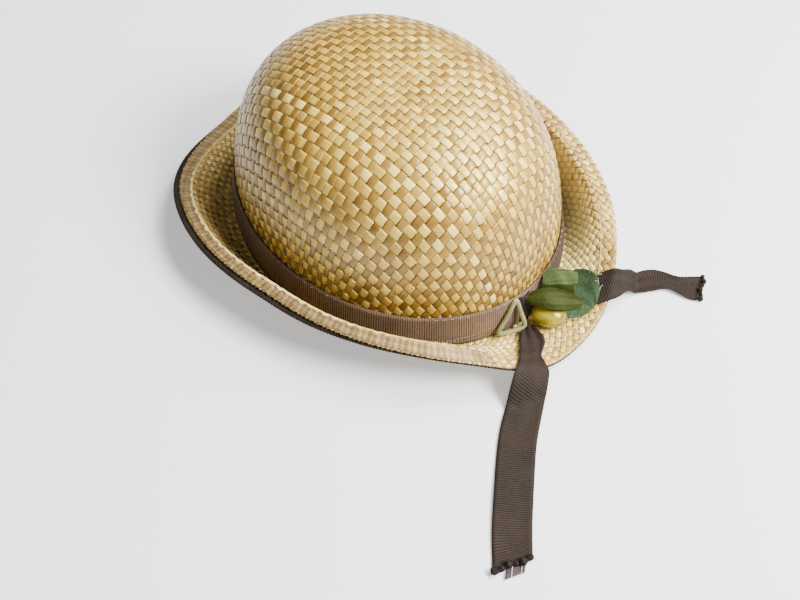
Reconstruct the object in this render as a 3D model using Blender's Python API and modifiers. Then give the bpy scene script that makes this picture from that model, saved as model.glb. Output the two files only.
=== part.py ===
"""Woven straw bonnet: a round crown, a brim rolled up at both sides, a ribbon
band with two loose tails, and a trim of cloth leaves, a berry and a wire loop.

Units are metres, +Z is up and the hat stands on its brim at z = 0.
The back of the hat, where the trim sits, faces +Y. Places round the oval are
given as an angle in degrees from the back, growing towards +X.
"""
import math
from collections import namedtuple

import bmesh
import bpy
import numpy as np
from mathutils import Vector

# Head and crown
HEAD_LENGTH = 0.1940
HEAD_WIDTH = 0.1574
STRAW = 0.0015
CROWN_HEIGHT = 0.1080
CROWN_FULLNESS = 3.05
CROWN_FLARE = 0.004
CROWN_FOOT = 0.0030

# Brim, measured out from the crown and up from the ground
BRIM_REACH = 0.0350
BRIM_RISE = 0.0310
BRIM_HEM = 0.0080
BREAK_RADIUS = 0.0012
COLLAR_HEIGHT = 0.0090
BRIM_BEND = 0.45

# Ribbon work
RIBBON = 0.0010
BAND_WIDTH = 0.0232
FACING_LAP = 0.0058
FACING_SHOW = 0.0036
TIE_WIDTH = 0.0200
TIE_NEAR_LENGTH = 0.1370
TIE_FAR_LENGTH = 0.0840
TIE_FALL = 0.0150
TIE_CLEAR = 0.0007

# Trim
BERRY_LENGTH = 0.0195
BERRY_WIDTH = 0.0138
LEAF_CLOTH = 0.0010
LEAF_CURL = 0.10
WIRE = 0.0022
OLIVE_LENGTH = 0.0290
OLIVE_WIDTH = 0.0150
FLAP_LENGTH = 0.0260
FLAP_WIDTH = 0.0150
EMERALD_LENGTH = 0.0290
EMERALD_WIDTH = 0.0250

# Clearance between pieces that touch on the real hat
GAP = 0.0003

# Mesh fineness
ROUND = 64
CROWN_ROWS = 14
WALL_ROWS = 8
TIE_ROWS = 34

# One row for each place round the brim, the same on both sides. reach and rise
# are shares of BRIM_REACH and BRIM_RISE; tilt is the slope of the hem, in degrees.
Place = namedtuple("Place", "angle reach rise tilt")
BRIM_PLACES = [
    Place(0, 1.00, 0.135, 3),
    Place(10, 0.99, 0.18, 9),
    Place(20, 0.93, 0.48, 18),
    Place(30, 0.85, 0.80, 2),
    Place(40, 0.77, 0.95, -10),
    Place(52, 0.68, 1.00, -12),
    Place(70, 0.61, 0.99, -12),
    Place(88, 0.59, 0.96, -8),
    Place(100, 0.67, 0.94, 0),
    Place(112, 0.77, 0.87, 6),
    Place(126, 0.86, 0.74, 10),
    Place(141, 0.91, 0.47, 12),
    Place(156, 0.84, 0.21, 8),
    Place(168, 0.72, 0.14, 3),
    Place(180, 0.68, 0.135, 2),
]

# How far the dark ribbon facing shows past the straw edge, as a share of
# FACING_SHOW, all the way round from the back.
Show = namedtuple("Show", "angle share")
FACING_SHOWS = [
    Show(0, 0.10),
    Show(35, 0.15),
    Show(63, 0.55),
    Show(85, 1.00),
    Show(150, 1.00),
    Show(166, 0.50),
    Show(185, 0.10),
    Show(300, 0.10),
]

# A tail of ribbon seen from above: where along it the ribbon heads which way
# (degrees from +X), and how much of its width is spread out.
Turn = namedtuple("Turn", "along heading width")
TIE_NEAR_TURNS = [
    Turn(0.00, 56, 0.35),
    Turn(0.06, 50, 0.62),
    Turn(0.13, 40, 0.80),
    Turn(0.24, 26, 0.85),
    Turn(0.38, 27, 0.97),
    Turn(0.55, 35, 1.00),
    Turn(0.80, 37, 1.00),
    Turn(0.93, 41, 1.00),
    Turn(1.00, 34, 0.95),
]
TIE_FAR_TURNS = [
    Turn(0.00, 126, 0.60),
    Turn(0.20, 132, 0.72),
    Turn(0.34, 160, 0.75),
    Turn(0.48, 158, 0.78),
    Turn(0.60, 150, 0.85),
    Turn(0.72, 132, 0.88),
    Turn(0.86, 121, 0.90),
    Turn(1.00, 134, 0.90),
]

# A cloth leaf from its root to its tip: half widths to the left and the right
# as shares of its width, and how far it rises as a share of its length.
Blade = namedtuple("Blade", "along left right lift")
OLIVE_BLADE = [
    Blade(0.00, 0.02, 0.03, 0.00),
    Blade(0.15, 0.20, 0.26, 0.05),
    Blade(0.40, 0.42, 0.50, 0.10),
    Blade(0.65, 0.42, 0.50, 0.10),
    Blade(0.86, 0.30, 0.34, 0.04),
    Blade(1.00, 0.05, 0.06, 0.00),
]
FLAP_BLADE = [
    Blade(0.00, 0.02, 0.03, 0.00),
    Blade(0.20, 0.22, 0.14, 0.04),
    Blade(0.45, 0.34, 0.24, 0.06),
    Blade(0.75, 0.36, 0.40, 0.05),
    Blade(1.00, 0.30, 0.30, 0.02),
]
EMERALD_BLADE = [
    Blade(0.00, 0.18, 0.10, 0.00),
    Blade(0.18, 0.40, 0.30, 0.04),
    Blade(0.42, 0.50, 0.48, 0.06),
    Blade(0.68, 0.48, 0.50, 0.05),
    Blade(0.88, 0.34, 0.38, 0.02),
    Blade(1.00, 0.12, 0.16, 0.00),
]

# The wire loop lies against the band: angle from the back, share of the band's
# height, and distance off the band in wire thicknesses.
Bend = namedtuple("Bend", "angle height off")
LOOP_BENDS = [
    Bend(9.0, 0.26, 2.3),
    Bend(9.6, 0.60, 1.2),
    Bend(10.2, 0.96, 0.70),
    Bend(11.4, 0.98, 0.70),
    Bend(15.0, 0.55, 0.70),
    Bend(18.8, 0.24, 0.95),
    Bend(18.0, 0.14, 1.2),
    Bend(13.6, 0.14, 1.8),
    Bend(10.2, 0.18, 2.3),
]

BASE_LENGTH = HEAD_LENGTH / 2 + STRAW
BASE_WIDTH = HEAD_WIDTH / 2 + STRAW
BAND_BOTTOM = STRAW + GAP + BREAK_RADIUS
BAND_TOP = BAND_BOTTOM + BAND_WIDTH
COLLAR_OUT = GAP + STRAW
BAND_OUT = COLLAR_OUT + GAP + RIBBON


def smooth_step(share):
    share = min(max(share, 0.0), 1.0)
    return share * share * (3 - 2 * share)


def row_at(rows, key, value, period=None):
    """Blend a table's columns smoothly at a value of its first column."""
    keys = [getattr(row, key) for row in rows]
    names = rows[0]._fields[1:]
    if period:
        value = value % period
        rows = [rows[-1]] + list(rows) + [rows[0], rows[1]]
        keys = [keys[-1] - period] + keys + [keys[0] + period, keys[1] + period]
    upper = next((i for i in range(1, len(keys)) if value <= keys[i]), len(keys) - 1)
    lower = upper - 1
    span = keys[upper] - keys[lower]
    share = (value - keys[lower]) / span
    before, after = max(lower - 1, 0), min(upper + 1, len(keys) - 1)
    result = []
    for name in names:
        a, b = getattr(rows[lower], name), getattr(rows[upper], name)
        slope_a = (b - getattr(rows[before], name)) / (keys[upper] - keys[before]) * span
        slope_b = (getattr(rows[after], name) - a) / (keys[after] - keys[lower]) * span
        s2, s3 = share ** 2, share ** 3
        result.append(a * (2 * s3 - 3 * s2 + 1) + b * (3 * s2 - 2 * s3)
                      + slope_a * (s3 - 2 * s2 + share) + slope_b * (s3 - s2))
    return result


def crown_share(height):
    """Radius of the crown at a height, as a share of its radius at the base."""
    rounded = (1 - min(height / CROWN_HEIGHT, 1) ** CROWN_FULLNESS) ** (1 / CROWN_FULLNESS)
    low = max(1 - height / (0.45 * CROWN_HEIGHT), 0)
    return rounded * (1 + CROWN_FLARE * low * low) / (1 + CROWN_FLARE)


def oval(angle, out=0.0, height=0.0, share=1.0):
    """A point off the base oval: out is measured square to it."""
    turn = math.radians(angle)
    x, y = BASE_WIDTH * math.sin(turn), BASE_LENGTH * math.cos(turn)
    normal = Vector((x / BASE_WIDTH ** 2, y / BASE_LENGTH ** 2, 0)).normalized()
    return Vector((x * share, y * share, height)) + out * normal


def oval_place(x, y):
    """The angle and distance out from the base oval of a point seen from above."""
    angle = math.degrees(math.atan2(x / BASE_WIDTH, y / BASE_LENGTH))
    for _ in range(12):
        foot = oval(angle)
        along = oval(angle + 0.5) - oval(angle - 0.5)
        miss = Vector((x, y, 0)) - foot
        angle += 0.75 * miss.dot(along) / along.length_squared
    return angle, (Vector((x, y, 0)) - oval(angle)).dot(oval(angle, 1.0) - oval(angle))


def brim_reach(angle):
    reach, rise, tilt = row_at(BRIM_PLACES, "angle", min(angle % 360, 360 - angle % 360))
    return BRIM_REACH * reach, BRIM_RISE * rise, math.radians(tilt)


def brim_section(angle):
    """Upper face of the brim at an angle, as (out, up) from collar to edge."""
    reach, rise, tilt = brim_reach(angle)
    points = [(COLLAR_OUT, COLLAR_HEIGHT), (COLLAR_OUT, BAND_BOTTOM)]
    for turn in (30, 60, 90):
        points.append((COLLAR_OUT + BREAK_RADIUS * (1 - math.cos(math.radians(turn))),
                       BAND_BOTTOM - BREAK_RADIUS * math.sin(math.radians(turn))))
    start = np.array(points[-1])
    end = np.array([reach - BRIM_HEM * math.cos(tilt), rise - BRIM_HEM * math.sin(tilt)])
    bend = BRIM_BEND * np.linalg.norm(end - start)
    leave = np.array([1.0, 0.0]) * bend
    arrive = np.array([math.cos(tilt), math.sin(tilt)]) * bend
    for i in range(1, WALL_ROWS + 1):
        t = i / WALL_ROWS
        t2, t3 = t * t, t ** 3
        point = (start * (2 * t3 - 3 * t2 + 1) + end * (3 * t2 - 2 * t3)
                 + leave * (t3 - 2 * t2 + t) + arrive * (t3 - t2))
        points.append((float(point[0]), float(point[1])))
    points.append((reach, rise))
    return points


def brim_height(x, y):
    """Height of what a ribbon lies on: the brim, then a fall to the ground."""
    angle, out = oval_place(x, y)
    reach, rise, _ = brim_reach(angle)
    if out > reach:
        return rise * (1 - smooth_step((out - reach) / TIE_FALL))
    step = 360 / ROUND
    share = angle / step - math.floor(angle / step)
    heights = []
    for place in (math.floor(angle / step) * step, math.ceil(angle / step) * step):
        section = brim_section(place)[1:]
        heights.append(float(np.interp(out, [p[0] for p in section], [p[1] for p in section])))
    return heights[0] * (1 - share) + heights[1] * share


def lay_over(x, y, depth):
    """Height of cloth whose middle is a depth off what it lies on, along its slope."""
    under = brim_height(x, y)
    run_x = (brim_height(x + RIBBON, y) - brim_height(x - RIBBON, y)) / (2 * RIBBON)
    run_y = (brim_height(x, y + RIBBON) - brim_height(x, y - RIBBON)) / (2 * RIBBON)
    return under + depth * math.sqrt(1 + run_x ** 2 + run_y ** 2)


def on_brim(angle, reach_share, above=0.0):
    place = oval(angle, brim_reach(angle)[0] * reach_share)
    place.z = brim_height(place.x, place.y) + above
    return place


def band_rows():
    """Heights of the band's inner face, with its share of the oval and its distance off."""
    lean = COLLAR_HEIGHT + BREAK_RADIUS
    rows = [(BAND_BOTTOM, 1.0, COLLAR_OUT + GAP), (COLLAR_HEIGHT, 1.0, COLLAR_OUT + GAP)]
    for rise, close in ((0.35, 0.4), (1.0, 1.0)):
        height = lean + (BAND_TOP - lean) * rise
        share = crown_share(height) / crown_share(CROWN_FOOT)
        rows.append((height, share, GAP + COLLAR_OUT * (1 - close)))
    return rows


def on_band(angle, height_share, off=0.0):
    """A point off the band's outer face."""
    height = BAND_BOTTOM + height_share * BAND_WIDTH
    rows = band_rows()
    heights = [row[0] for row in rows]
    share = float(np.interp(height, heights, [row[1] for row in rows]))
    inner = float(np.interp(height, heights, [row[2] for row in rows]))
    return oval(angle, inner + RIBBON + off, height, share)


def material(name, color, roughness, sheen=0.0):
    made = bpy.data.materials.new(name)
    made.use_nodes = True
    shader = made.node_tree.nodes["Principled BSDF"]
    shader.inputs["Base Color"].default_value = (*color, 1)
    shader.inputs["Roughness"].default_value = roughness
    shader.inputs["Metallic"].default_value = 0.0
    shader.inputs["Sheen Weight"].default_value = sheen
    made.diffuse_color = (*color, 1)
    return made


def add_object(name, mesh_or_curve, finish):
    made = bpy.data.objects.new(name, mesh_or_curve)
    HAT.objects.link(made)
    made.parent = STAND
    mesh_or_curve.materials.append(finish)
    return made


def sheet(name, rows, finish, thickness, offset, closed=False, cap=False):
    """Solid of one thickness from rows of points; the faces look along row x column."""
    bm = bmesh.new()
    grid = [[bm.verts.new(point) for point in row] for row in rows]
    count = len(rows[0])
    steps = range(count if closed else count - 1)
    for lower, upper in zip(grid, grid[1:]):
        for i in steps:
            j = (i + 1) % count
            bm.faces.new((lower[i], lower[j], upper[j], upper[i]))
    if cap:
        middle = bm.verts.new(sum((Vector(p) for p in rows[-1]), Vector()) / count + cap)
        for i in steps:
            bm.faces.new((grid[-1][i], grid[-1][(i + 1) % count], middle))
    mesh = bpy.data.meshes.new(name)
    bm.to_mesh(mesh)
    bm.free()
    mesh.shade_smooth()
    made = add_object(name, mesh, finish)
    solidify = made.modifiers.new("wall", "SOLIDIFY")
    solidify.thickness = thickness
    solidify.offset = offset
    solidify.use_even_offset = True
    return made


def round_angles():
    return [360 * i / ROUND for i in range(ROUND)]


def make_crown():
    fine = [CROWN_HEIGHT * math.sin(math.pi / 2 * i / 400) for i in range(401)]
    fine = [h for h in fine if h >= CROWN_FOOT]
    reach = [crown_share(h) * (BASE_LENGTH + BASE_WIDTH) / 2 for h in fine]
    steps = np.hypot(np.diff(reach), np.diff(fine))
    length = np.concatenate([[0], np.cumsum(steps)])
    stops = np.linspace(0, length[-1], CROWN_ROWS + 1)[:-1]
    heights = [0.0] + [float(np.interp(s, length, fine)) for s in stops]
    foot = crown_share(CROWN_FOOT)
    rows = []
    for height in heights:
        share = foot if height < CROWN_FOOT else crown_share(height)
        rows.append([oval(-a, 0, height, share / foot) for a in round_angles()])
    top = Vector((0, 0, CROWN_HEIGHT - rows[-1][0].z))
    return sheet("crown", rows, STRAW_FINISH, STRAW, -1, closed=True, cap=top)


def make_brim():
    sections = [brim_section(a) for a in round_angles()]
    rows = []
    for i in range(len(sections[0])):
        rows.append([oval(a, *sections[j][i]) for j, a in enumerate(round_angles())])
    return sheet("brim", rows, BRIM_FINISH, STRAW, -1, closed=True)


def hem_point(angle, along):
    """A point on the upper face of the hem; along is 0 at the straw edge."""
    reach, rise, tilt = brim_reach(angle)
    return oval(angle, reach + along * math.cos(tilt), rise + along * math.sin(tilt))


def under_hem(angle, along, depth):
    """A point square below the hem's upper face."""
    across = hem_point(angle, along + GAP) - hem_point(angle, along - GAP)
    around = hem_point(angle + 1, along) - hem_point(angle - 1, along)
    return hem_point(angle, along) - depth * around.cross(across).normalized()


def make_facing():
    """Ribbon sewn under the hem; at the near side it stands past the straw edge."""
    rows = [[], [], []]
    for angle in round_angles():
        show = FACING_SHOW * row_at(FACING_SHOWS, "angle", angle, 360)[0]
        for row, along in zip(rows, (-FACING_LAP, 0, show)):
            row.append(under_hem(angle, along, STRAW + 2 * GAP))
    return sheet("brim_facing", rows, FACING_FINISH, RIBBON, -1, closed=True)


def make_band():
    """Ribbon round the crown: it stands out over the collar and leans in above it."""
    rows = [[oval(-a, off, height, share) for a in round_angles()]
            for height, share, off in band_rows()]
    return sheet("hat_band", rows, BAND_FINISH, RIBBON, 1, closed=True)


def make_tie(name, start, turns, length):
    """A limp tail of ribbon that lies on the brim, drops off it and lies on the ground."""
    place = Vector((start.x, start.y, 0))
    rows = []
    for i in range(TIE_ROWS + 1):
        heading, width = row_at(turns, "along", i / TIE_ROWS)
        turn = math.radians(heading)
        side = Vector((-math.sin(turn), math.cos(turn), 0))
        row = []
        for share in (-0.5, -0.25, 0, 0.25, 0.5):
            point = place + side * share * width * TIE_WIDTH
            lifted = min(brim_height(point.x, point.y) / STRAW, 1)
            point.z = lay_over(point.x, point.y, RIBBON / 2 + TIE_CLEAR * lifted)
            row.append(point)
        rows.append(row[::-1])
        place = place + Vector((math.cos(turn), math.sin(turn), 0)) * length / TIE_ROWS
    return sheet(name, rows, BAND_FINISH, RIBBON, 0)


def make_leaf(name, root, tip, face, blade, width, finish, above_brim=None):
    """A cloth leaf from root to tip; face is the way its upper side looks.

    With above_brim it lies over the brim, its middle that far above the straw.
    """
    length = (tip - root).length
    along = (tip - root).normalized()
    side = face.cross(along).normalized()
    up = along.cross(side)
    steps = 8
    rows = []
    for i in range(steps + 1):
        left, right, lift = row_at(blade, "along", i / steps)
        middle = root + along * length * i / steps + up * lift * length
        row = []
        for share in (-1, -0.5, 0, 0.5, 1):
            half = left if share > 0 else right
            point = middle + side * share * half * width
            if above_brim is None:
                point -= up * LEAF_CURL * width * share * share
            else:
                point.z = lay_over(point.x, point.y, above_brim) + lift * length
            row.append(point)
        rows.append(row[::-1])
    return sheet(name, rows, finish, LEAF_CLOTH, 0)


def make_berry():
    mesh = bpy.data.meshes.new("berry")
    bm = bmesh.new()
    bmesh.ops.create_uvsphere(bm, u_segments=16, v_segments=12, radius=0.5)
    bmesh.ops.scale(bm, vec=(BERRY_LENGTH, BERRY_WIDTH, BERRY_WIDTH), verts=bm.verts)
    bm.to_mesh(mesh)
    bm.free()
    mesh.shade_smooth()
    berry = add_object("berry", mesh, BERRY_FINISH)
    berry.location = BERRY_PLACE
    berry.rotation_euler = (0, 0, math.radians(BERRY_HEADING))
    return berry


def make_loop():
    curve = bpy.data.curves.new("wire_loop", "CURVE")
    curve.dimensions = "3D"
    curve.bevel_depth = WIRE / 2
    curve.bevel_resolution = 1
    curve.resolution_u = 3
    curve.use_fill_caps = True
    spline = curve.splines.new("NURBS")
    points = [on_band(b.angle, b.height, b.off * WIRE) for b in LOOP_BENDS]
    spline.points.add(len(points) - 1)
    for slot, point in zip(spline.points, points):
        slot.co = (*point, 1)
    spline.use_cyclic_u = True
    spline.order_u = 3
    return add_object("wire_loop", curve, WIRE_FINISH)


def bounds(objects):
    """Lowest and highest corners of the finished solids."""
    graph = bpy.context.evaluated_depsgraph_get()
    corners = []
    for made in objects:
        solid = made.evaluated_get(graph)
        mesh = solid.to_mesh()
        corners += [solid.matrix_world @ v.co for v in mesh.vertices]
        solid.to_mesh_clear()
    low = Vector([min(c[i] for c in corners) for i in range(3)])
    high = Vector([max(c[i] for c in corners) for i in range(3)])
    return low, high


for old in list(bpy.data.objects):
    bpy.data.objects.remove(old, do_unlink=True)

HAT = bpy.data.collections.new("straw_bonnet")
bpy.context.scene.collection.children.link(HAT)
STAND = bpy.data.objects.new("stand_point", None)
HAT.objects.link(STAND)

STRAW_FINISH = material("golden_straw", (0.62, 0.44, 0.20), 0.45)
BRIM_FINISH = material("brim_straw", (0.55, 0.37, 0.16), 0.50)
FACING_FINISH = material("dark_facing_ribbon", (0.05, 0.042, 0.038), 0.80)
BAND_FINISH = material("taupe_ribbon", (0.13, 0.095, 0.072), 0.75, 0.2)
OLIVE_FINISH = material("olive_satin", (0.20, 0.26, 0.07), 0.50, 0.1)
FLAP_FINISH = material("pale_green_satin", (0.28, 0.40, 0.20), 0.50, 0.1)
EMERALD_FINISH = material("emerald_cloth", (0.05, 0.19, 0.09), 0.70, 0.1)
BERRY_FINISH = material("yellow_lacquer", (0.55, 0.42, 0.03), 0.15)
WIRE_FINISH = material("green_wrapped_wire", (0.36, 0.40, 0.17), 0.80)

make_crown()
make_brim()
make_facing()
make_band()
make_tie("tie_near", on_brim(8.0, 0.27), TIE_NEAR_TURNS, TIE_NEAR_LENGTH)
make_tie("tie_far", on_brim(-9.5, 0.24), TIE_FAR_TURNS, TIE_FAR_LENGTH)

BERRY_HEADING = 116
BERRY_PLACE = on_brim(2.0, 0.47, BERRY_WIDTH / 2 + 2 * GAP)
make_berry()

berry_top = BERRY_PLACE.z + BERRY_WIDTH / 2
cloth_on_berry = berry_top + GAP + LEAF_CLOTH
olive_root = on_band(6.8, 0.86, 2 * GAP + LEAF_CLOTH / 2)
olive_root.z = max(olive_root.z, cloth_on_berry)
olive_tip = oval(-4.5, BRIM_REACH * 0.62, cloth_on_berry)
olive_tip = olive_root + (olive_tip - olive_root).normalized() * OLIVE_LENGTH
make_leaf("leaf_olive", olive_root, olive_tip, Vector((0.15, 0.25, 1)), OLIVE_BLADE,
          OLIVE_WIDTH, OLIVE_FINISH)

flap_root = on_band(1.5, 1.0, 2 * GAP + LEAF_CLOTH / 2)
flap_aim = oval(-9.0, BAND_OUT + OLIVE_WIDTH * 0.75, BAND_TOP)
flap_tip = flap_root + (flap_aim - flap_root).normalized() * FLAP_LENGTH
make_leaf("leaf_flap", flap_root, flap_tip, Vector((0, 0.35, 1)), FLAP_BLADE,
          FLAP_WIDTH, FLAP_FINISH)

over_tie = TIE_CLEAR + RIBBON + 2 * GAP + LEAF_CLOTH / 2
emerald_root = on_brim(-13.5, 0.16, over_tie)
emerald_aim = on_brim(-10.5, 0.95, over_tie)
emerald_tip = emerald_root + (emerald_aim - emerald_root).normalized() * EMERALD_LENGTH
make_leaf("leaf_emerald", emerald_root, emerald_tip, Vector((0, 0, 1)), EMERALD_BLADE,
          EMERALD_WIDTH, EMERALD_FINISH, over_tie)
make_loop()

# The origin is the bottom centre of the whole, under the middle of its box
bpy.context.view_layer.update()
low, high = bounds([made for made in HAT.objects if made.type != "EMPTY"])
STAND.location = (-(low.x + high.x) / 2, -(low.y + high.y) / 2, -low.z)
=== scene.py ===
# %% [markdown]
# Woven straw bonnet: the looks.
# A hat like this is plaited from flat straw splints, steamed over a block and stiffened.
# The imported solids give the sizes. Everything that is seen is built anew here around
# them: real strands that pass over and under each other, ribbed ribbon, cloth leaves.

# %% Load the frame
import math
from collections import namedtuple

import bpy
import numpy as np
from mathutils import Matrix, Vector


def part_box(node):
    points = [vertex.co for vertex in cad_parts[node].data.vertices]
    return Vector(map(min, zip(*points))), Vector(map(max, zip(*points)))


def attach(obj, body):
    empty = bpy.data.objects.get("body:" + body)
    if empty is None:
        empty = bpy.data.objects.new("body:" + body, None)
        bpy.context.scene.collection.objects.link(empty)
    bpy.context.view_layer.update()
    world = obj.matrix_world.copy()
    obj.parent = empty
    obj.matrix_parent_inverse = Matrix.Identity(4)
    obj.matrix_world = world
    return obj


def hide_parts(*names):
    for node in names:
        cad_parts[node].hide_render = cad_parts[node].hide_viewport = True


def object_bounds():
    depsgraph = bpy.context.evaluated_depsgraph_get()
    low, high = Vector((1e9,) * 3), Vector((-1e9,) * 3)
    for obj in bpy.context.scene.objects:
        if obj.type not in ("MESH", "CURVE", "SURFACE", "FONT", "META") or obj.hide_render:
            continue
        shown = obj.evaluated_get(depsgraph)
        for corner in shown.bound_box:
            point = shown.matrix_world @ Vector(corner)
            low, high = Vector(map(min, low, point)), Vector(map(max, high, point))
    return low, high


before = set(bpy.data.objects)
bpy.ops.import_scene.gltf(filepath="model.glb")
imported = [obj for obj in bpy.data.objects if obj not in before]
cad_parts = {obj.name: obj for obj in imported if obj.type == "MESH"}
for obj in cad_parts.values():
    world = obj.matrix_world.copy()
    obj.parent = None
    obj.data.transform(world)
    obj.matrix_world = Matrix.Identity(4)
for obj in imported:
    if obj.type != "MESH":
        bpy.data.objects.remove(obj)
cad_low, cad_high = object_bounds()
crown_low, crown_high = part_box("crown")
CENTRE = np.array([(crown_low.x + crown_high.x) / 2, (crown_low.y + crown_high.y) / 2, 0.0])
CROWN_HEIGHT = crown_high.z
print("crown centre", CENTRE.round(4), "crown height", round(CROWN_HEIGHT, 4))

# %% [markdown]
# Sizes of the hat. The visible pieces have to lie close to the solids, so the measures
# and the small tables that shape the solids are used again. Lengths are metres. Places
# round the head are angles in degrees from the back, growing towards +X. Some pieces
# depart from their solids: the near side of the brim is creased harder, by up to about
# 5 mm, the wire is a little thicker, and the leaves differ by a few millimetres.

# %% Sizes of the crown, brim and ribbon
BASE_WIDTH = 0.0802
BASE_LENGTH = 0.0985
STRAW = 0.0015
CROWN_FULLNESS = 3.05
CROWN_FLARE = 0.004
CROWN_FOOT = 0.0030
BRIM_REACH = 0.0350
BRIM_RISE = 0.0310
BRIM_HEM = 0.0080
BREAK_RADIUS = 0.0012
COLLAR_HEIGHT = 0.0090
BRIM_BEND = 0.45
RIBBON = 0.0010
BAND_WIDTH = 0.0232
FACING_LAP = 0.0058
FACING_SHOW = 0.0036
TIE_WIDTH = 0.0200
TIE_FALL = 0.0150
TIE_CLEAR = 0.0007
GAP = 0.0003
WALL_ROWS = 8
BAND_BOTTOM = STRAW + GAP + BREAK_RADIUS
BAND_TOP = BAND_BOTTOM + BAND_WIDTH
COLLAR_OUT = GAP + STRAW

Place = namedtuple("Place", "angle reach rise tilt")
BRIM_PLACES = [
    Place(0, 1.00, 0.135, 3),
    Place(10, 0.99, 0.18, 9),
    Place(20, 0.93, 0.48, 18),
    Place(30, 0.85, 0.80, 2),
    Place(40, 0.77, 0.95, -10),
    Place(52, 0.68, 1.00, -12),
    Place(70, 0.61, 0.99, -12),
    Place(88, 0.59, 0.96, -8),
    Place(100, 0.67, 0.94, 0),
    Place(112, 0.77, 0.87, 6),
    Place(126, 0.86, 0.74, 10),
    Place(141, 0.91, 0.47, 12),
    Place(156, 0.84, 0.21, 8),
    Place(168, 0.72, 0.14, 3),
    Place(180, 0.68, 0.135, 2),
]
Show = namedtuple("Show", "angle share")
FACING_SHOWS = [
    Show(0, 0.10),
    Show(35, 0.15),
    Show(63, 0.55),
    Show(85, 1.00),
    Show(150, 1.00),
    Show(166, 0.50),
    Show(185, 0.10),
    Show(300, 0.10),
]
print("brim places", len(BRIM_PLACES), "facing places", len(FACING_SHOWS))

# %% [markdown]
# Helpers that turn the tables into smooth curves. A table row says how far the brim
# reaches, how high it rises and how its hem tilts at one place; values between two rows
# are blended with the same smooth curve that shaped the solids. One helper also creases the
# near side of the brim, harder than in the solid.


# %% Curves of the crown and brim
def smooth_step(share):
    share = min(max(share, 0.0), 1.0)
    return share * share * (3 - 2 * share)


def row_at(rows, key, value, period=None):
    """Blend a table's columns smoothly at a value of its first column."""
    keys = [getattr(row, key) for row in rows]
    names = rows[0]._fields[1:]
    if period:
        value = value % period
        rows = [rows[-1]] + list(rows) + [rows[0], rows[1]]
        keys = [keys[-1] - period] + keys + [keys[0] + period, keys[1] + period]
    upper = next((i for i in range(1, len(keys)) if value <= keys[i]), len(keys) - 1)
    lower = upper - 1
    span = keys[upper] - keys[lower]
    share = (value - keys[lower]) / span
    before, after = max(lower - 1, 0), min(upper + 1, len(keys) - 1)
    result = []
    for name in names:
        a, b = getattr(rows[lower], name), getattr(rows[upper], name)
        slope_a = (b - getattr(rows[before], name)) / (keys[upper] - keys[before]) * span
        slope_b = (getattr(rows[after], name) - a) / (keys[after] - keys[lower]) * span
        s2, s3 = share ** 2, share ** 3
        result.append(a * (2 * s3 - 3 * s2 + 1) + b * (3 * s2 - 2 * s3)
                      + slope_a * (s3 - 2 * s2 + share) + slope_b * (s3 - s2))
    return result


def crown_share(height):
    """Radius of the crown at a height, as a share of its radius at the base."""
    ratio = np.minimum(np.asarray(height) / CROWN_HEIGHT, 1)
    rounded = (1 - ratio ** CROWN_FULLNESS) ** (1 / CROWN_FULLNESS)
    low = np.maximum(1 - np.asarray(height) / (0.45 * CROWN_HEIGHT), 0)
    return rounded * (1 + CROWN_FLARE * low * low) / (1 + CROWN_FLARE)


def oval(angle, out=0.0, height=0.0, share=1.0):
    """A point off the base oval: out is measured square to it."""
    turn = math.radians(angle)
    x, y = BASE_WIDTH * math.sin(turn), BASE_LENGTH * math.cos(turn)
    normal = Vector((x / BASE_WIDTH ** 2, y / BASE_LENGTH ** 2, 0)).normalized()
    return Vector((x * share, y * share, float(height))) + float(out) * normal


def oval_place(x, y):
    """The angle and distance out from the base oval of a point seen from above."""
    angle = math.degrees(math.atan2(x / BASE_WIDTH, y / BASE_LENGTH))
    for _ in range(12):
        foot = oval(angle)
        along = oval(angle + 0.5) - oval(angle - 0.5)
        miss = Vector((x, y, 0)) - foot
        angle += 0.75 * miss.dot(along) / along.length_squared
    return angle, (Vector((x, y, 0)) - oval(angle)).dot(oval(angle, 1.0) - oval(angle))


def brim_reach(angle):
    reach, rise, tilt = row_at(BRIM_PLACES, "angle", min(angle % 360, 360 - angle % 360))
    return BRIM_REACH * reach, BRIM_RISE * rise, math.radians(tilt)


CREASE_ANGLE, CREASE_SPAN = 98, 55
CREASE_HEM, CREASE_FLAT, CREASE_STEEP = 0.36, 1.2, 0.85


def near_crest(angle):
    """1 on the side where the brim is creased hard along its hem, 0 elsewhere."""
    return np.exp(-((np.asarray(angle) % 360 - CREASE_ANGLE) / CREASE_SPAN) ** 4)


def brim_section(angle):
    """Upper face of the brim at an angle, as (out, up) from collar to edge."""
    reach, rise, tilt = brim_reach(angle)
    points = [(COLLAR_OUT, COLLAR_HEIGHT), (COLLAR_OUT, BAND_BOTTOM)]
    for turn in (30, 60, 90):
        points.append((COLLAR_OUT + BREAK_RADIUS * (1 - math.cos(math.radians(turn))),
                       BAND_BOTTOM - BREAK_RADIUS * math.sin(math.radians(turn))))
    start = np.array(points[-1])
    crest = float(near_crest(angle))
    hem = BRIM_HEM * (1 - CREASE_HEM * crest)
    end = np.array([reach - hem * math.cos(tilt), rise - hem * math.sin(tilt)])
    bend = BRIM_BEND * np.linalg.norm(end - start)
    leave = np.array([1.0, 0.0]) * bend * (1 + CREASE_FLAT * crest)
    arrive = np.array([math.cos(tilt), math.sin(tilt)]) * bend * (1 - CREASE_STEEP * crest)
    for i in range(1, WALL_ROWS + 1):
        t = i / WALL_ROWS
        t2, t3 = t * t, t ** 3
        point = (start * (2 * t3 - 3 * t2 + 1) + end * (3 * t2 - 2 * t3)
                 + leave * (t3 - 2 * t2 + t) + arrive * (t3 - t2))
        points.append((float(point[0]), float(point[1])))
    points.append((reach, rise))
    return points


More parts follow.
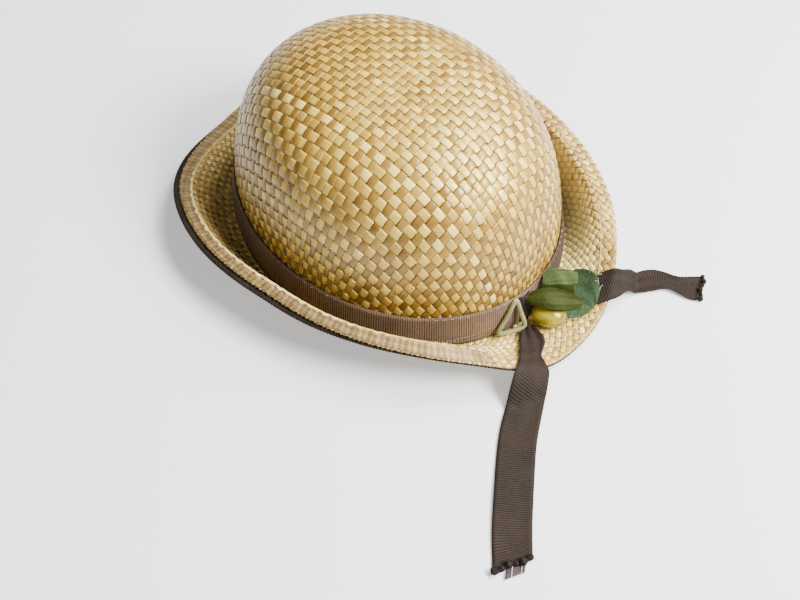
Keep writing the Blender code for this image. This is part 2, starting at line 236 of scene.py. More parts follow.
def brim_height(x, y):
    """Height of what a ribbon lies on: the brim, then a fall to the ground."""
    angle, out = oval_place(x, y)
    reach, rise, _ = brim_reach(angle)
    if out > reach:
        return rise * (1 - smooth_step((out - reach) / TIE_FALL))
    section = brim_section(angle)[1:]
    return float(np.interp(out, [p[0] for p in section], [p[1] for p in section]))


def lay_over(x, y, depth):
    """Height of cloth whose middle is a depth off what it lies on, along its slope."""
    under = brim_height(x, y)
    run_x = (brim_height(x + RIBBON, y) - brim_height(x - RIBBON, y)) / (2 * RIBBON)
    run_y = (brim_height(x, y + RIBBON) - brim_height(x, y - RIBBON)) / (2 * RIBBON)
    return under + depth * math.sqrt(1 + run_x ** 2 + run_y ** 2)


def on_brim(angle, reach_share, above=0.0):
    place = oval(angle, brim_reach(angle)[0] * reach_share)
    place.z = brim_height(place.x, place.y) + above
    return place


def band_rows():
    """Heights of the band's inner face, with its share of the oval and its distance off."""
    lean = COLLAR_HEIGHT + BREAK_RADIUS
    rows = [(BAND_BOTTOM, 1.0, COLLAR_OUT + GAP), (COLLAR_HEIGHT, 1.0, COLLAR_OUT + GAP)]
    for rise, close in ((0.35, 0.4), (1.0, 1.0)):
        height = lean + (BAND_TOP - lean) * rise
        share = float(crown_share(height) / crown_share(CROWN_FOOT))
        rows.append((height, share, GAP + COLLAR_OUT * (1 - close)))
    return rows


def on_band(angle, height_share, off=0.0):
    """A point off the band's outer face."""
    height = BAND_BOTTOM + height_share * BAND_WIDTH
    rows = band_rows()
    heights = [row[0] for row in rows]
    share = float(np.interp(height, heights, [row[1] for row in rows]))
    inner = float(np.interp(height, heights, [row[2] for row in rows]))
    return oval(angle, inner + RIBBON + off, height, share)


print("brim edge at the back", [round(v, 4) for v in brim_section(0)[-1]])

# %% [markdown]
# Camera, floor and light. The photo looks down on the hat from its left rear quarter.
# Cameras from 46 to 58 degrees above the ground match the crown's outline about equally
# well, each with a hat of other proportions. 56 degrees was chosen, because it gives a head
# of ordinary size. A pale floor bounces soft light, and a broad lamp on the right makes part
# of the bright patch on the crown. The rest of that patch is in the tint of the straw.


# %% Camera, floor and lamps
def aim(thing, place, target):
    thing.location = place
    direction = Vector(target) - Vector(place)
    thing.rotation_euler = direction.to_track_quat("-Z", "Y").to_euler()
    bpy.context.scene.collection.objects.link(thing)


camera_data = bpy.data.cameras.new("photo_camera")
camera_data.lens = 58.5
camera_data.sensor_width = 36
camera = bpy.data.objects.new("photo_camera", camera_data)
aim(camera, (0.32707, 0.27379, 0.59200), (0.03037, 0.00659, 0.0))
bpy.context.scene.camera = camera

Lamp = namedtuple("Lamp", "name place target size power warmth")
LAMPS = [
    Lamp("window_light", (-0.34, 0.86, 0.98), (-0.01, -0.02, 0.06), 0.60, 66.0, 0.95),
    Lamp("sky_card", (-0.72, 0.22, 1.15), (0.0, 0.0, 0.05), 0.80, 40.0, 0.96),
    Lamp("room_fill", (0.80, 0.45, 0.80), (0.0, 0.0, 0.03), 1.00, 4.0, 0.98),
]
for lamp in LAMPS:
    light = bpy.data.lights.new(lamp.name, "AREA")
    light.shape = "DISK"
    light.size = lamp.size
    light.energy = lamp.power
    light.color = (1.0, lamp.warmth, lamp.warmth ** 2)
    aim(bpy.data.objects.new(lamp.name, light), lamp.place, lamp.target)

world = bpy.data.worlds.new("pale_room")
world.use_nodes = True
world.node_tree.nodes["Background"].inputs["Color"].default_value = (1.0, 1.0, 1.0, 1)
world.node_tree.nodes["Background"].inputs["Strength"].default_value = 0.20
bpy.context.scene.world = world

floor_mesh = bpy.data.meshes.new("paper_floor")
floor_mesh.from_pydata([(-3, -3, 0), (3, -3, 0), (3, 3, 0), (-3, 3, 0)], [], [(0, 1, 2, 3)])
floor = bpy.data.objects.new("paper_floor", floor_mesh)
floor.location.z = cad_low.z - 0.0001
bpy.context.scene.collection.objects.link(floor)
paper = bpy.data.materials.new("white_paper")
paper.use_nodes = True
paper.node_tree.nodes["Principled BSDF"].inputs["Base Color"].default_value = (0.66, 0.69, 0.74, 1)
paper.node_tree.nodes["Principled BSDF"].inputs["Roughness"].default_value = 0.9
paper.node_tree.nodes["Principled BSDF"].inputs["Emission Color"].default_value = (1, 1, 1, 1)
paper.node_tree.nodes["Principled BSDF"].inputs["Emission Strength"].default_value = 0.40
floor_mesh.materials.append(paper)
print("camera", tuple(round(v, 3) for v in camera.location), "lamps", len(LAMPS))

# %% [markdown]
# Small tools for finishes and pieces. A finish is a Principled shader whose colour,
# roughness and bump come from a few nodes. A piece is a mesh made from arrays, which
# rides on the hat's one body and takes its finish as its one material.


# %% Tools for finishes and pieces
def new_finish(name, roughness, sheen=0.0, coat=0.0):
    made = bpy.data.materials.new(name)
    made.use_nodes = True
    shader = made.node_tree.nodes["Principled BSDF"]
    shader.inputs["Roughness"].default_value = roughness
    shader.inputs["Sheen Weight"].default_value = sheen
    shader.inputs["Coat Weight"].default_value = coat
    return made, made.node_tree, shader


def add_node(tree, kind, inputs, **settings):
    """A shader node with its settings, fed by values or by other nodes' outputs."""
    made = tree.nodes.new(kind)
    for key, value in settings.items():
        setattr(made, key, value)
    for key, value in inputs.items():
        if isinstance(value, bpy.types.NodeSocket):
            tree.links.new(value, made.inputs[key])
        else:
            made.inputs[key].default_value = value
    return made


def ramp(tree, share, stops):
    """A colour ramp; stops are (place, red, green, blue)."""
    made = add_node(tree, "ShaderNodeValToRGB", {"Fac": share})
    band = made.color_ramp
    while len(band.elements) < len(stops):
        band.elements.new(0.5)
    for element, (place, *color) in zip(band.elements, stops):
        element.position = place
        element.color = (*color, 1)
    return made.outputs["Color"]


def add_bump(tree, shader, height, depth, strength=1.0):
    made = add_node(tree, "ShaderNodeBump",
                    {"Height": height, "Distance": depth, "Strength": strength})
    tree.links.new(made.outputs["Normal"], shader.inputs["Normal"])


def add_piece(name, points, faces, finish, stands_for=()):
    """A mesh from points in the hat's own place; it is moved to the frame's place."""
    mesh = bpy.data.meshes.new(name)
    mesh.from_pydata((np.asarray(points, float) + CENTRE).tolist(), [], faces)
    mesh.shade_smooth()
    mesh.materials.append(finish)
    made = bpy.data.objects.new(name, mesh)
    bpy.context.scene.collection.objects.link(made)
    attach(made, "root")
    if stands_for:
        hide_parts(*stands_for)
    print(name, len(points), "points", len(faces), "faces")
    return made


def tag(piece, name, values):
    """Store a value or a vector at each point of a piece, for its finish to read."""
    values = np.asarray(values, np.float32)
    kind = "FLOAT" if values.ndim == 1 else "FLOAT_VECTOR"
    made = piece.data.attributes.new(name, kind, "POINT")
    made.data.foreach_set("value" if values.ndim == 1 else "vector", values.ravel())


# %% [markdown]
# The straw finish. Each strand is a split stalk: one colour along its length, a little
# different from its neighbour, with fine grain and a waxy shine. Each strand carries its
# own tint and its own direction, so the streaks run along it and never across.


# %% Straw finishes
def straw_finish(name, stops, roughness, coat):
    made, tree, shader = new_finish(name, roughness, coat=coat)
    shader.inputs["Coat Roughness"].default_value = 0.30
    shader.inputs["Specular Tint"].default_value = (1.0, 0.82, 0.45, 1)
    shader.inputs["Specular IOR Level"].default_value = 0.90
    lie = add_node(tree, "ShaderNodeAttribute", {}, attribute_name="lie").outputs["Vector"]
    tint = add_node(tree, "ShaderNodeAttribute", {}, attribute_name="tint").outputs["Fac"]
    stretched = add_node(tree, "ShaderNodeVectorMath", {0: lie, 1: (90.0, 2600.0, 1.0)},
                         operation="MULTIPLY").outputs["Vector"]
    grain = add_node(tree, "ShaderNodeTexNoise",
                     {"Vector": stretched, "Scale": 1.0, "Detail": 3.0}).outputs["Fac"]
    patch = add_node(tree, "ShaderNodeVectorMath", {0: lie, 1: (45.0, 60.0, 9.0)},
                     operation="MULTIPLY").outputs["Vector"]
    blotch = add_node(tree, "ShaderNodeTexNoise",
                      {"Vector": patch, "Scale": 1.0, "Detail": 2.0}).outputs["Fac"]
    share = add_node(tree, "ShaderNodeMath", {0: grain, 1: 0.30, 2: tint},
                     operation="MULTIPLY_ADD").outputs["Value"]
    share = add_node(tree, "ShaderNodeMath", {0: blotch, 1: 0.30, 2: share},
                     operation="MULTIPLY_ADD").outputs["Value"]
    share = add_node(tree, "ShaderNodeMath", {0: share, 1: 0.30},
                     operation="SUBTRACT").outputs["Value"]
    tree.links.new(ramp(tree, share, stops), shader.inputs["Base Color"])
    add_bump(tree, shader, grain, 0.00008, 0.6)
    return made


# The strands of one direction take a paler copy of the straw and the crossing strands a deeper one; the
# brim has a pair of its own. It is all the same straw: the paler copy is painted sheen and the deeper one
# painted shade, for straw that shines more along one way than across it.
STRAW_SHEEN_LIT = straw_finish("straw_painted_sheen_lit", [
    (0.05, 0.140, 0.074, 0.011), (0.40, 0.29, 0.177, 0.024), (0.75, 0.45, 0.308, 0.048),
    (1.00, 0.68, 0.53, 0.15)], 0.32, 0.02)
STRAW_SHEEN_DIM = straw_finish("straw_painted_sheen_dim", [
    (0.05, 0.085, 0.038, 0.004), (0.45, 0.180, 0.097, 0.012), (0.80, 0.30, 0.186, 0.027),
    (1.00, 0.48, 0.34, 0.070)], 0.34, 0.01)
BRIM_STRAW_SHEEN_LIT = straw_finish("brim_straw_painted_sheen_lit", [
    (0.05, 0.190, 0.108, 0.027), (0.45, 0.36, 0.236, 0.062), (0.80, 0.56, 0.415, 0.125),
    (1.00, 0.84, 0.72, 0.30)], 0.42, 0.04)
BRIM_STRAW_SHEEN_DIM = straw_finish("brim_straw_painted_sheen_dim", [
    (0.05, 0.110, 0.057, 0.016), (0.45, 0.23, 0.138, 0.036), (0.80, 0.40, 0.272, 0.078),
    (1.00, 0.66, 0.51, 0.18)], 0.44, 0.03)
print("straw finishes", STRAW_SHEEN_LIT.name, STRAW_SHEEN_DIM.name, BRIM_STRAW_SHEEN_LIT.name, BRIM_STRAW_SHEEN_DIM.name)

# %% [markdown]
# A strand as a mesh. Every strand is a thin lens in section that rides over one crossing
# strand and under the next. All the strands of one direction are joined in one mesh,
# because thousands of separate objects would be slow and hard to choose.

# %% Strands
STRAND_THICKNESS = 0.00034
STRAND_RISE = 0.00030
STATIONS = 4
SECTION = np.array([(-1.0, 0.0), (-0.62, 0.85), (0.0, 1.0), (0.62, 0.85), (1.0, 0.0), (0.0, -0.7)])


def over_under(count):
    """Height of a strand where it has passed this many crossings."""
    wave = np.cos(math.pi * count)
    return np.sign(wave) * np.abs(wave) ** 0.55


def strand_points(middle, side, normal, lift, roll, thickness=STRAND_THICKNESS):
    """Points of one strand; side reaches from its middle to its edge."""
    rings = []
    width = np.linalg.norm(side, axis=1)[:, None]
    for across, up in SECTION:
        height = lift[:, None] + up * thickness + across * roll[:, None] * width
        rings.append(middle + side * across + normal * height)
    return np.stack(rings, axis=1).reshape(-1, 3)


def strand_faces(stations, first):
    """Faces of one closed strand, with both its ends capped."""
    around = len(SECTION)
    ring = np.arange(around)
    faces = []
    for i in range(stations - 1):
        a, b = first + i * around, first + (i + 1) * around
        for j in ring:
            k = (j + 1) % around
            faces.append((a + j, b + j, b + k, a + k))
    last = first + (stations - 1) * around
    faces.append(tuple(first + j for j in ring))
    faces.append(tuple(last + j for j in ring[::-1]))
    return faces


def join_strands(name, strands, finish, stands_for=()):
    """One mesh from many strands, each (points, tint at each station, length along it)."""
    points, faces, tints, lies, first = [], [], [], [], 0
    around = len(SECTION)
    for number, (cloud, tint, along, half) in enumerate(strands):
        stations = len(tint)
        points.append(cloud)
        faces.extend(strand_faces(stations, first))
        tints.append(np.repeat(tint, around))
        across = (half[:, None] * SECTION[:, 0]).ravel()
        lies.append(np.stack([np.repeat(along, around), across,
                              np.full(len(across), number * 1.37)], axis=1))
        first += stations * around
    made = add_piece(name, np.concatenate(points), faces, finish, stands_for)
    tag(made, "tint", np.concatenate(tints))
    tag(made, "lie", np.concatenate(lies))
    return made


# %% [markdown]
# The crown's cloth of straw. It is taken as woven flat from its middle and pulled down
# over a block, so one set of strands runs along the head and the other across it. A flat
# cloth is measured out from the top of the dome: each point of it is carried down the
# dome by its own distance, and its strands draw closer together as they near the base.

# %% Where the flat cloth lands on the dome
MEAN_RADIUS = (BASE_WIDTH + BASE_LENGTH) / 2
heights = CROWN_HEIGHT * np.sin(np.linspace(np.pi / 2, 0, 1500))
radii = crown_share(heights) / crown_share(CROWN_FOOT) * MEAN_RADIUS
path = np.concatenate([[0], np.cumsum(np.hypot(np.diff(radii), np.diff(heights)))])
stretch = 1 + 0.28 * (path / path[-1]) ** 1.5
cloth = np.concatenate([[0], np.cumsum(np.diff(path) / ((stretch[1:] + stretch[:-1]) / 2))])
lean_out = -np.gradient(heights) / np.gradient(path)
lean_up = np.gradient(radii) / np.gradient(path)
SPREAD = 0.022


def on_crown(u, v):
    """Points and outward directions on the dome for places (u, v) in the flat cloth."""
    across, along = u * MEAN_RADIUS / BASE_WIDTH, v * MEAN_RADIUS / BASE_LENGTH
    radius = np.hypot(across, along)
    turn = np.arctan2(across, along)
    ease = np.clip(radius / cloth[-1], 0, 1) ** 2
    turn = turn - SPREAD * ease * np.sin(4 * turn)
    height = np.interp(radius, cloth, heights)
    share = np.interp(radius, cloth, radii) / MEAN_RADIUS
    x, y = BASE_WIDTH * share * np.sin(turn), BASE_LENGTH * share * np.cos(turn)
    outward = np.stack([x / BASE_WIDTH ** 2, y / BASE_LENGTH ** 2], axis=-1)
    outward /= np.maximum(np.linalg.norm(outward, axis=-1, keepdims=True), 1e-9)
    steep = np.interp(radius, cloth, lean_out)[..., None]
    flat = np.interp(radius, cloth, lean_up)[..., None]
    normal = np.concatenate([outward * steep, flat], axis=-1)
    normal /= np.linalg.norm(normal, axis=-1, keepdims=True)
    return np.stack([x, y, height], axis=-1), normal


CROWN_PITCH = 0.0044
PITCH_GROWTH = 0.22


def strand_lines(half):
    """Where the strands lie across the cloth, a little wider apart further out."""
    places = [0.5 * CROWN_PITCH]
    while places[-1] < half:
        growth = 1 + PITCH_GROWTH * smooth_step(places[-1] / 0.07)
        places.append(places[-1] + CROWN_PITCH * growth)
    return np.array([-p for p in reversed(places)] + places)


half_u = cloth[-1] * BASE_WIDTH / MEAN_RADIUS
half_v = cloth[-1] * BASE_LENGTH / MEAN_RADIUS
LINES_U, LINES_V = strand_lines(half_u), strand_lines(half_v)
print("strands across", len(LINES_U), "strands along", len(LINES_V),
      "path", round(float(path[-1]), 4), "cloth", round(float(cloth[-1]), 4))

# %% [markdown]
# Now the crown is woven. The strands that face the lit side get a paler tint and those
# that face away a deeper one. On the real hat this is most likely gloss and not colour.
# Gloss alone left the crown too even here, so the tint carries part of it, and it stays
# with the straw when the lamps are moved.

# %% Weave the crown
CROWN_LOW = 0.0046
PALER_WAY = np.array([0.06, 0.46, 0.88])
PALER_FROM, PALER_SPAN, PALER_GAIN = 0.80, 0.17, 0.32
DEEPER_FROM, DEEPER_SPAN, DEEPER_GAIN = 0.68, 0.5, 0.16
SPLINT_FILL = 0.965
chance = np.random.default_rng(7)


def weave_crown(lines, crossings, along_head, tone, wobble):
    """Strands of one direction: lines are where they lie, crossings where they cross."""
    numbers = np.arange(len(crossings))
    count = np.linspace(0, len(crossings) - 1, STATIONS * (len(crossings) - 1) + 1)
    where = np.interp(count, numbers, crossings)
    strands = []
    for i, line in enumerate(lines):
        sway = 0.00012 * np.sin(where * 90 + i * 2.4)
        u, v = (line + sway, where) if along_head else (where, line + sway)
        scale_u, scale_v = u * MEAN_RADIUS / BASE_WIDTH, v * MEAN_RADIUS / BASE_LENGTH
        reach = np.hypot(scale_u, scale_v)
        limit = np.interp(-CROWN_LOW, -heights, cloth)
        keep = reach < limit
        if keep.sum() < 2 * STATIONS:
            continue
        u, v, turns = u[keep], v[keep], count[keep]
        u, v = np.broadcast_to(u, turns.shape), np.broadcast_to(v, turns.shape)
        step = 0.0005
        du, dv = (step, 0) if along_head else (0, step)
        middle, normal = on_crown(u, v)
        left, _ = on_crown(u - du, v - dv)
        right, _ = on_crown(u + du, v + dv)
        near = lines[max(i - 1, 0)]
        far = lines[min(i + 1, len(lines) - 1)]
        pitch = (far - near) / (2 if 0 < i < len(lines) - 1 else 1)
        side = (right - left) / (2 * step) * pitch * SPLINT_FILL / 2
        sign = (1 if along_head else -1) * (-1) ** i
        lift = STRAND_RISE * sign * over_under(turns) + STRAND_THICKNESS * 0.4
        cell = np.round(turns).astype(int)
        rolls = chance.normal(0, 0.035, len(crossings) + 1)[cell]
        shade = chance.normal(tone, wobble) + chance.normal(0, 0.08, len(crossings) + 1)[cell]
        # Near the base the strands along the head are painted lighter still and those across it darker:
        # more of the same painted sheen and shade.
        low = 1 - middle[:, 2] / CROWN_HEIGHT
        shade = shade + (0.06 if along_head else -0.10) * np.clip(low * 1.6, 0, 1)
        faced = normal @ PALER_WAY
        shade = shade + PALER_GAIN * np.clip((faced - PALER_FROM) / PALER_SPAN, 0, 1)
        shade = shade - DEEPER_GAIN * np.clip((DEEPER_FROM - faced) / DEEPER_SPAN, 0, 1)
        steps = np.linalg.norm(np.diff(middle, axis=0), axis=1)
        along = np.concatenate([[0], np.cumsum(steps)])
        if not along_head:
            side = -side
        cloud = strand_points(middle, side, normal, lift, rolls)
        strands.append((cloud, shade, along, np.linalg.norm(side, axis=1)))
    return strands


# The strands along the head take the paler straw and a higher tone: painted sheen, by the way a strand
# runs.
crown_along = join_strands("crown_strands_along", weave_crown(LINES_U, LINES_V, True, 0.64, 0.09),
                           STRAW_SHEEN_LIT, ["crown"])
crown_across = join_strands("crown_strands_across", weave_crown(LINES_V, LINES_U, False, 0.50, 0.11),
                            STRAW_SHEEN_DIM, ["crown"])

# %% [markdown]
# A few helpers for sheets of cloth. Rows of points are smoothed, turned into a grid of
# faces and given their real thickness. The inside of the crown needs no piece of its own:
# from below one sees the under sides of the same strands, as in the real hat.


# %% Sheets from rows
def refine(rows, count):
    """More rows on smooth curves through the given ones."""
    rows = np.asarray(rows, float)
    place = np.linspace(0, len(rows) - 1, count)
    lower = np.minimum(place.astype(int), len(rows) - 2)
    t = (place - lower).reshape((-1,) + (1,) * (rows.ndim - 1))
    a, b = rows[lower], rows[lower + 1]
    before, after = rows[np.maximum(lower - 1, 0)], rows[np.minimum(lower + 2, len(rows) - 1)]
    return (a * (2 * t ** 3 - 3 * t ** 2 + 1) + b * (3 * t ** 2 - 2 * t ** 3)
            + (b - before) / 2 * (t ** 3 - 2 * t ** 2 + t) + (after - a) / 2 * (t ** 3 - t ** 2))


def grid_faces(rows, columns, closed=False):
    """Faces of a grid of points; closed joins the last row to the first."""
    faces = []
    for i in range(rows if closed else rows - 1):
        a, b = i * columns, ((i + 1) % rows) * columns
        for j in range(columns - 1):
            faces.append((a + j, a + j + 1, b + j + 1, b + j))
    return faces


def add_sheet(name, rows, finish, thickness, stands_for=(), closed=False, offset=0.0):
    """A thin sheet through rows of points, with its real thickness."""
    rows = np.asarray(rows, float)
    count, columns = rows.shape[:2]
    made = add_piece(name, rows.reshape(-1, 3), grid_faces(count, columns, closed), finish,
                     stands_for)
    solid = made.modifiers.new("cloth_thickness", "SOLIDIFY")
    solid.thickness = thickness
    solid.offset = offset
    return made


def row_normals(rows, closed=False):
    """Directions square to a grid of points."""
    if closed:
        along = np.roll(rows, -1, axis=0) - np.roll(rows, 1, axis=0)
    else:
        along = np.gradient(rows, axis=0)
    across = np.gradient(rows, axis=1)
    normal = np.cross(along, across)
    return normal / np.maximum(np.linalg.norm(normal, axis=2, keepdims=True), 1e-12)


# %% [markdown]
# The brim is plaited too, but its strands run slantwise, at about 45 degrees to the rim.
# A grid of points on the
# brim's own surface is made first; strands are then lines that climb it to the left or to
# the right, all with the same slope.

# %% The brim's surface
BRIM_STEPS = 720
BRIM_ROWS = 49
brim_grid = np.zeros((BRIM_STEPS, BRIM_ROWS, 3))
for i in range(BRIM_STEPS):
    angle = 360 * i / BRIM_STEPS
    section = refine(brim_section(angle)[4:], 60)
    section = np.concatenate([brim_section(angle)[:4], section])
    run = np.concatenate([[0], np.cumsum(np.hypot(*np.diff(section, axis=0).T))])
    stops = np.linspace(0, run[-1], BRIM_ROWS)
    outs, ups = np.interp(stops, run, section[:, 0]), np.interp(stops, run, section[:, 1])
    for j in range(BRIM_ROWS):
        brim_grid[i, j] = oval(angle, outs[j], ups[j])
brim_normal = row_normals(brim_grid, closed=True)
print("brim width over its surface at the back", round(float(run[-1]), 4))


def on_grid(grid, angle, share):
    """Blend a closed grid at angles in degrees and at shares of the way across it."""
    a = (np.asarray(angle) / 360 * len(grid)) % len(grid)
    b = np.clip(np.asarray(share), 0, 1) * (grid.shape[1] - 1)
    i, j = a.astype(int) % len(grid), np.minimum(b.astype(int), grid.shape[1] - 2)
    s, t = (a - np.floor(a))[..., None], (b - j)[..., None]
    k = (i + 1) % len(grid)
    return ((grid[i, j] * (1 - s) + grid[k, j] * s) * (1 - t)
            + (grid[i, j + 1] * (1 - s) + grid[k, j + 1] * s) * t)


# %% [markdown]
# The brim is woven from strands that lean both ways round it. Two stretches get a paler
# tint, given by angle, by how far it spreads and by its strength inside and on the hem.
# As on the crown, this stands for light that the real straw most likely returns as gloss.

# %% Weave the brim
BRIM_STRANDS = 140
BRIM_LEAN = 25.5
BRIM_START = 0.13
Paler = namedtuple("Paler", "angle span inner outer")
PALER_PLACES = [
    Paler(26, 13, 0.32, 0.26),
    Paler(312, 42, 0.72, 0.06),
]
HEM_SHARE, HEM_BLEND = 0.72, 0.10


def weave_brim(hand, tone, wobble, depth=0.0, stations=STATIONS):
    """Strands that lean one way round the brim, at a depth under its face; hand is 1 or -1."""
    step = 360 / BRIM_STRANDS
    crossings = 2 * BRIM_LEAN / step
    count = np.arange(BRIM_START * crossings, crossings, 1 / stations)
    share = count / crossings
    strands = []
    for i in range(BRIM_STRANDS):
        angle = i * step + hand * BRIM_LEAN * share + 0.12 * np.sin(share * 9 + i * 2.1)
        middle = on_grid(brim_grid, angle, share)
        normal = on_grid(brim_normal, angle, share)
        normal /= np.linalg.norm(normal, axis=1, keepdims=True)
        middle = middle - normal * depth
        left = on_grid(brim_grid, angle - 0.5, share)
        right = on_grid(brim_grid, angle + 0.5, share)
        forward = np.gradient(middle, axis=0)
        forward /= np.linalg.norm(forward, axis=1, keepdims=True)
        side = (right - left) * step * SPLINT_FILL / 2
        side -= forward * np.sum(side * forward, axis=1, keepdims=True)
        ease = np.clip((1 - share) / 0.05, 0.35, 1)
        lift = STRAND_RISE * 0.85 * hand * over_under(count) * ease + STRAND_THICKNESS * 0.3
        cell = np.round(count).astype(int)
        rolls = chance.normal(0, 0.03, int(crossings) + 3)[cell]
        shade = chance.normal(tone, wobble) + chance.normal(0, 0.07, int(crossings) + 3)[cell]
        past_hem = np.clip((share - HEM_SHARE) / HEM_BLEND, 0, 1)
        for place in PALER_PLACES:
            off = (angle - place.angle + 180) % 360 - 180
            gain = place.inner + (place.outer - place.inner) * past_hem
            shade = shade + gain * np.exp(-(off / place.span) ** 2)
        steps = np.linalg.norm(np.diff(middle, axis=0), axis=1)
        along = np.concatenate([[0], np.cumsum(steps)])
        cloud = strand_points(middle, side, normal, lift, rolls)
        strands.append((cloud, shade, along, np.linalg.norm(side, axis=1)))
    return strands


# The strands that lean one way take the brim's paler straw and a higher tone, those that lean the other way
# the deeper straw: painted sheen and painted shade, by the way a strand runs.
brim_left = join_strands("brim_strands_left", weave_brim(1, 0.58, 0.10), BRIM_STRAW_SHEEN_LIT,
                         ["brim"])
brim_right = join_strands("brim_strands_right", weave_brim(-1, 0.48, 0.12), BRIM_STRAW_SHEEN_DIM,
                          ["brim"])

# %% [markdown]
# The under side of the brim is hidden in the photo. It is taken as a second plait, folded
# back under the edge, because a single one would show gaps. This layer is woven a
# millimetre lower.

# %% Under layer of the brim
UNDER_DEPTH = 0.00095
under_left = join_strands("under_strands_left", weave_brim(1, 0.50, 0.10, UNDER_DEPTH, 2), BRIM_STRAW_SHEEN_LIT)
under_right = join_strands("under_strands_right", weave_brim(-1, 0.44, 0.12, UNDER_DEPTH, 2), BRIM_STRAW_SHEEN_DIM)


# %% [markdown]
# The straw edge of the brim ends in a thin roll, so that no cut strand shows. It is a tube
# that follows the edge all the way round and swells a little at each strand. The helper
# that makes it takes any path, so the wire and the threads below are made with it too.


# %% Rolled edge of the brim
def tube(path, radius, around=8, closed=False):
    """Points and faces of a tube; radius is one number or one for each point of the path."""
    path = np.asarray(path, float)
    if closed:
        forward = np.roll(path, -1, axis=0) - np.roll(path, 1, axis=0)
    else:
        forward = np.gradient(path, axis=0)
    forward /= np.linalg.norm(forward, axis=1, keepdims=True)
    up = np.tile([0.0, 0.0, 1.0], (len(path), 1))
    steep = np.abs(forward[:, 2]) > 0.93
    up[steep] = [1.0, 0.0, 0.0]
    side = np.cross(forward, up)
    side /= np.linalg.norm(side, axis=1, keepdims=True)
    top = np.cross(side, forward)
    turn = np.arange(around) * 2 * np.pi / around
    radius = np.broadcast_to(np.asarray(radius, float).reshape(-1, 1), (len(path), around))
    points = (path[:, None] + side[:, None] * (radius * np.cos(turn))[..., None]
              + top[:, None] * (radius * np.sin(turn))[..., None])
    faces = []
    for i in range(len(path) if closed else len(path) - 1):
        a, b = i * around, ((i + 1) % len(path)) * around
        for j in range(around):
            k = (j + 1) % around
            faces.append((a + j, a + k, b + k, b + j))
    if not closed:
        faces.append(tuple(range(around))[::-1])
        faces.append(tuple((len(path) - 1) * around + j for j in range(around)))
    return points.reshape(-1, 3), faces


EDGE_STEPS = 2 * BRIM_STRANDS * 6
edge_angle = np.arange(EDGE_STEPS) * 360 / EDGE_STEPS
edge_path = on_grid(brim_grid, edge_angle, np.full(EDGE_STEPS, 0.992))
edge_path -= on_grid(brim_normal, edge_angle, np.full(EDGE_STEPS, 1.0)) * 0.0005
folds = np.abs(np.sin(np.radians(edge_angle) * BRIM_STRANDS))
edge_points, edge_faces = tube(edge_path, 0.00075 + 0.00022 * folds, 8, closed=True)
brim_edge = add_piece("brim_edge", edge_points, edge_faces, BRIM_STRAW_SHEEN_LIT)
edge_tint = 0.52 + 0.10 * folds + chance.normal(0, 0.06, EDGE_STEPS // 6).repeat(6)
tag(brim_edge, "tint", np.repeat(edge_tint, 8))
edge_lie = np.stack([edge_angle * 0.0004, edge_angle * 0.0018, np.zeros(EDGE_STEPS)], axis=1)
tag(brim_edge, "lie", np.repeat(edge_lie, 8, axis=0))

# %% [markdown]
# Ribbon finishes. Grosgrain is a ribbon with thick cross threads, so its ribs run from
# edge to edge. On the band and the tails the ribs are real folds of the mesh, and the
# facing is left smooth; the finish adds the fine threads, an uneven dye, a soft sheen at
# grazing angles and a tone that alternates from rib to rib. On the band the same value also
# carries a painted shade.


# %% Ribbon and thread finishes
def cloth_finish(name, dark, light, roughness, sheen, scale=900.0, bump=0.00006, ribs=0.0):
    """Cloth from a dark and a light colour; ribs says how much the rib value counts, a tone that alternates
    from rib to rib and on the band also holds painted shade.
    """
    made, tree, shader = new_finish(name, roughness, sheen=sheen)
    shader.inputs["Sheen Roughness"].default_value = 0.45
    shader.inputs["Specular IOR Level"].default_value = 0.18
    place = add_node(tree, "ShaderNodeTexCoord", {}).outputs["Object"]
    threads = add_node(tree, "ShaderNodeTexNoise",
                       {"Vector": place, "Scale": scale, "Detail": 3.0}).outputs["Fac"]
    dye = add_node(tree, "ShaderNodeTexNoise",
                   {"Vector": place, "Scale": 70.0, "Detail": 3.0}).outputs["Fac"]
    rib = add_node(tree, "ShaderNodeAttribute", {}, attribute_name="rib").outputs["Fac"]
    share = add_node(tree, "ShaderNodeMath", {0: threads, 1: 0.55 * (1 - ribs), 2: 0.5 * ribs - 0.0},
                     operation="MULTIPLY_ADD").outputs["Value"]
    share = add_node(tree, "ShaderNodeMath", {0: dye, 1: 0.45 * (1 - ribs), 2: share},
                     operation="MULTIPLY_ADD").outputs["Value"]
    if ribs:
        share = add_node(tree, "ShaderNodeMath", {0: rib, 1: 0.30, 2: share},
                         operation="MULTIPLY_ADD").outputs["Value"]
        share = add_node(tree, "ShaderNodeMath", {0: share, 1: 0.15},
                         operation="SUBTRACT").outputs["Value"]
    tree.links.new(ramp(tree, share, [(0.36, *dark), (0.64, *light)]), shader.inputs["Base Color"])
    add_bump(tree, shader, threads, bump, 0.7)
    return made


TAUPE = cloth_finish("taupe_grosgrain", (0.026, 0.015, 0.009), (0.200, 0.135, 0.086), 0.75, 0.03,
                     ribs=0.6)
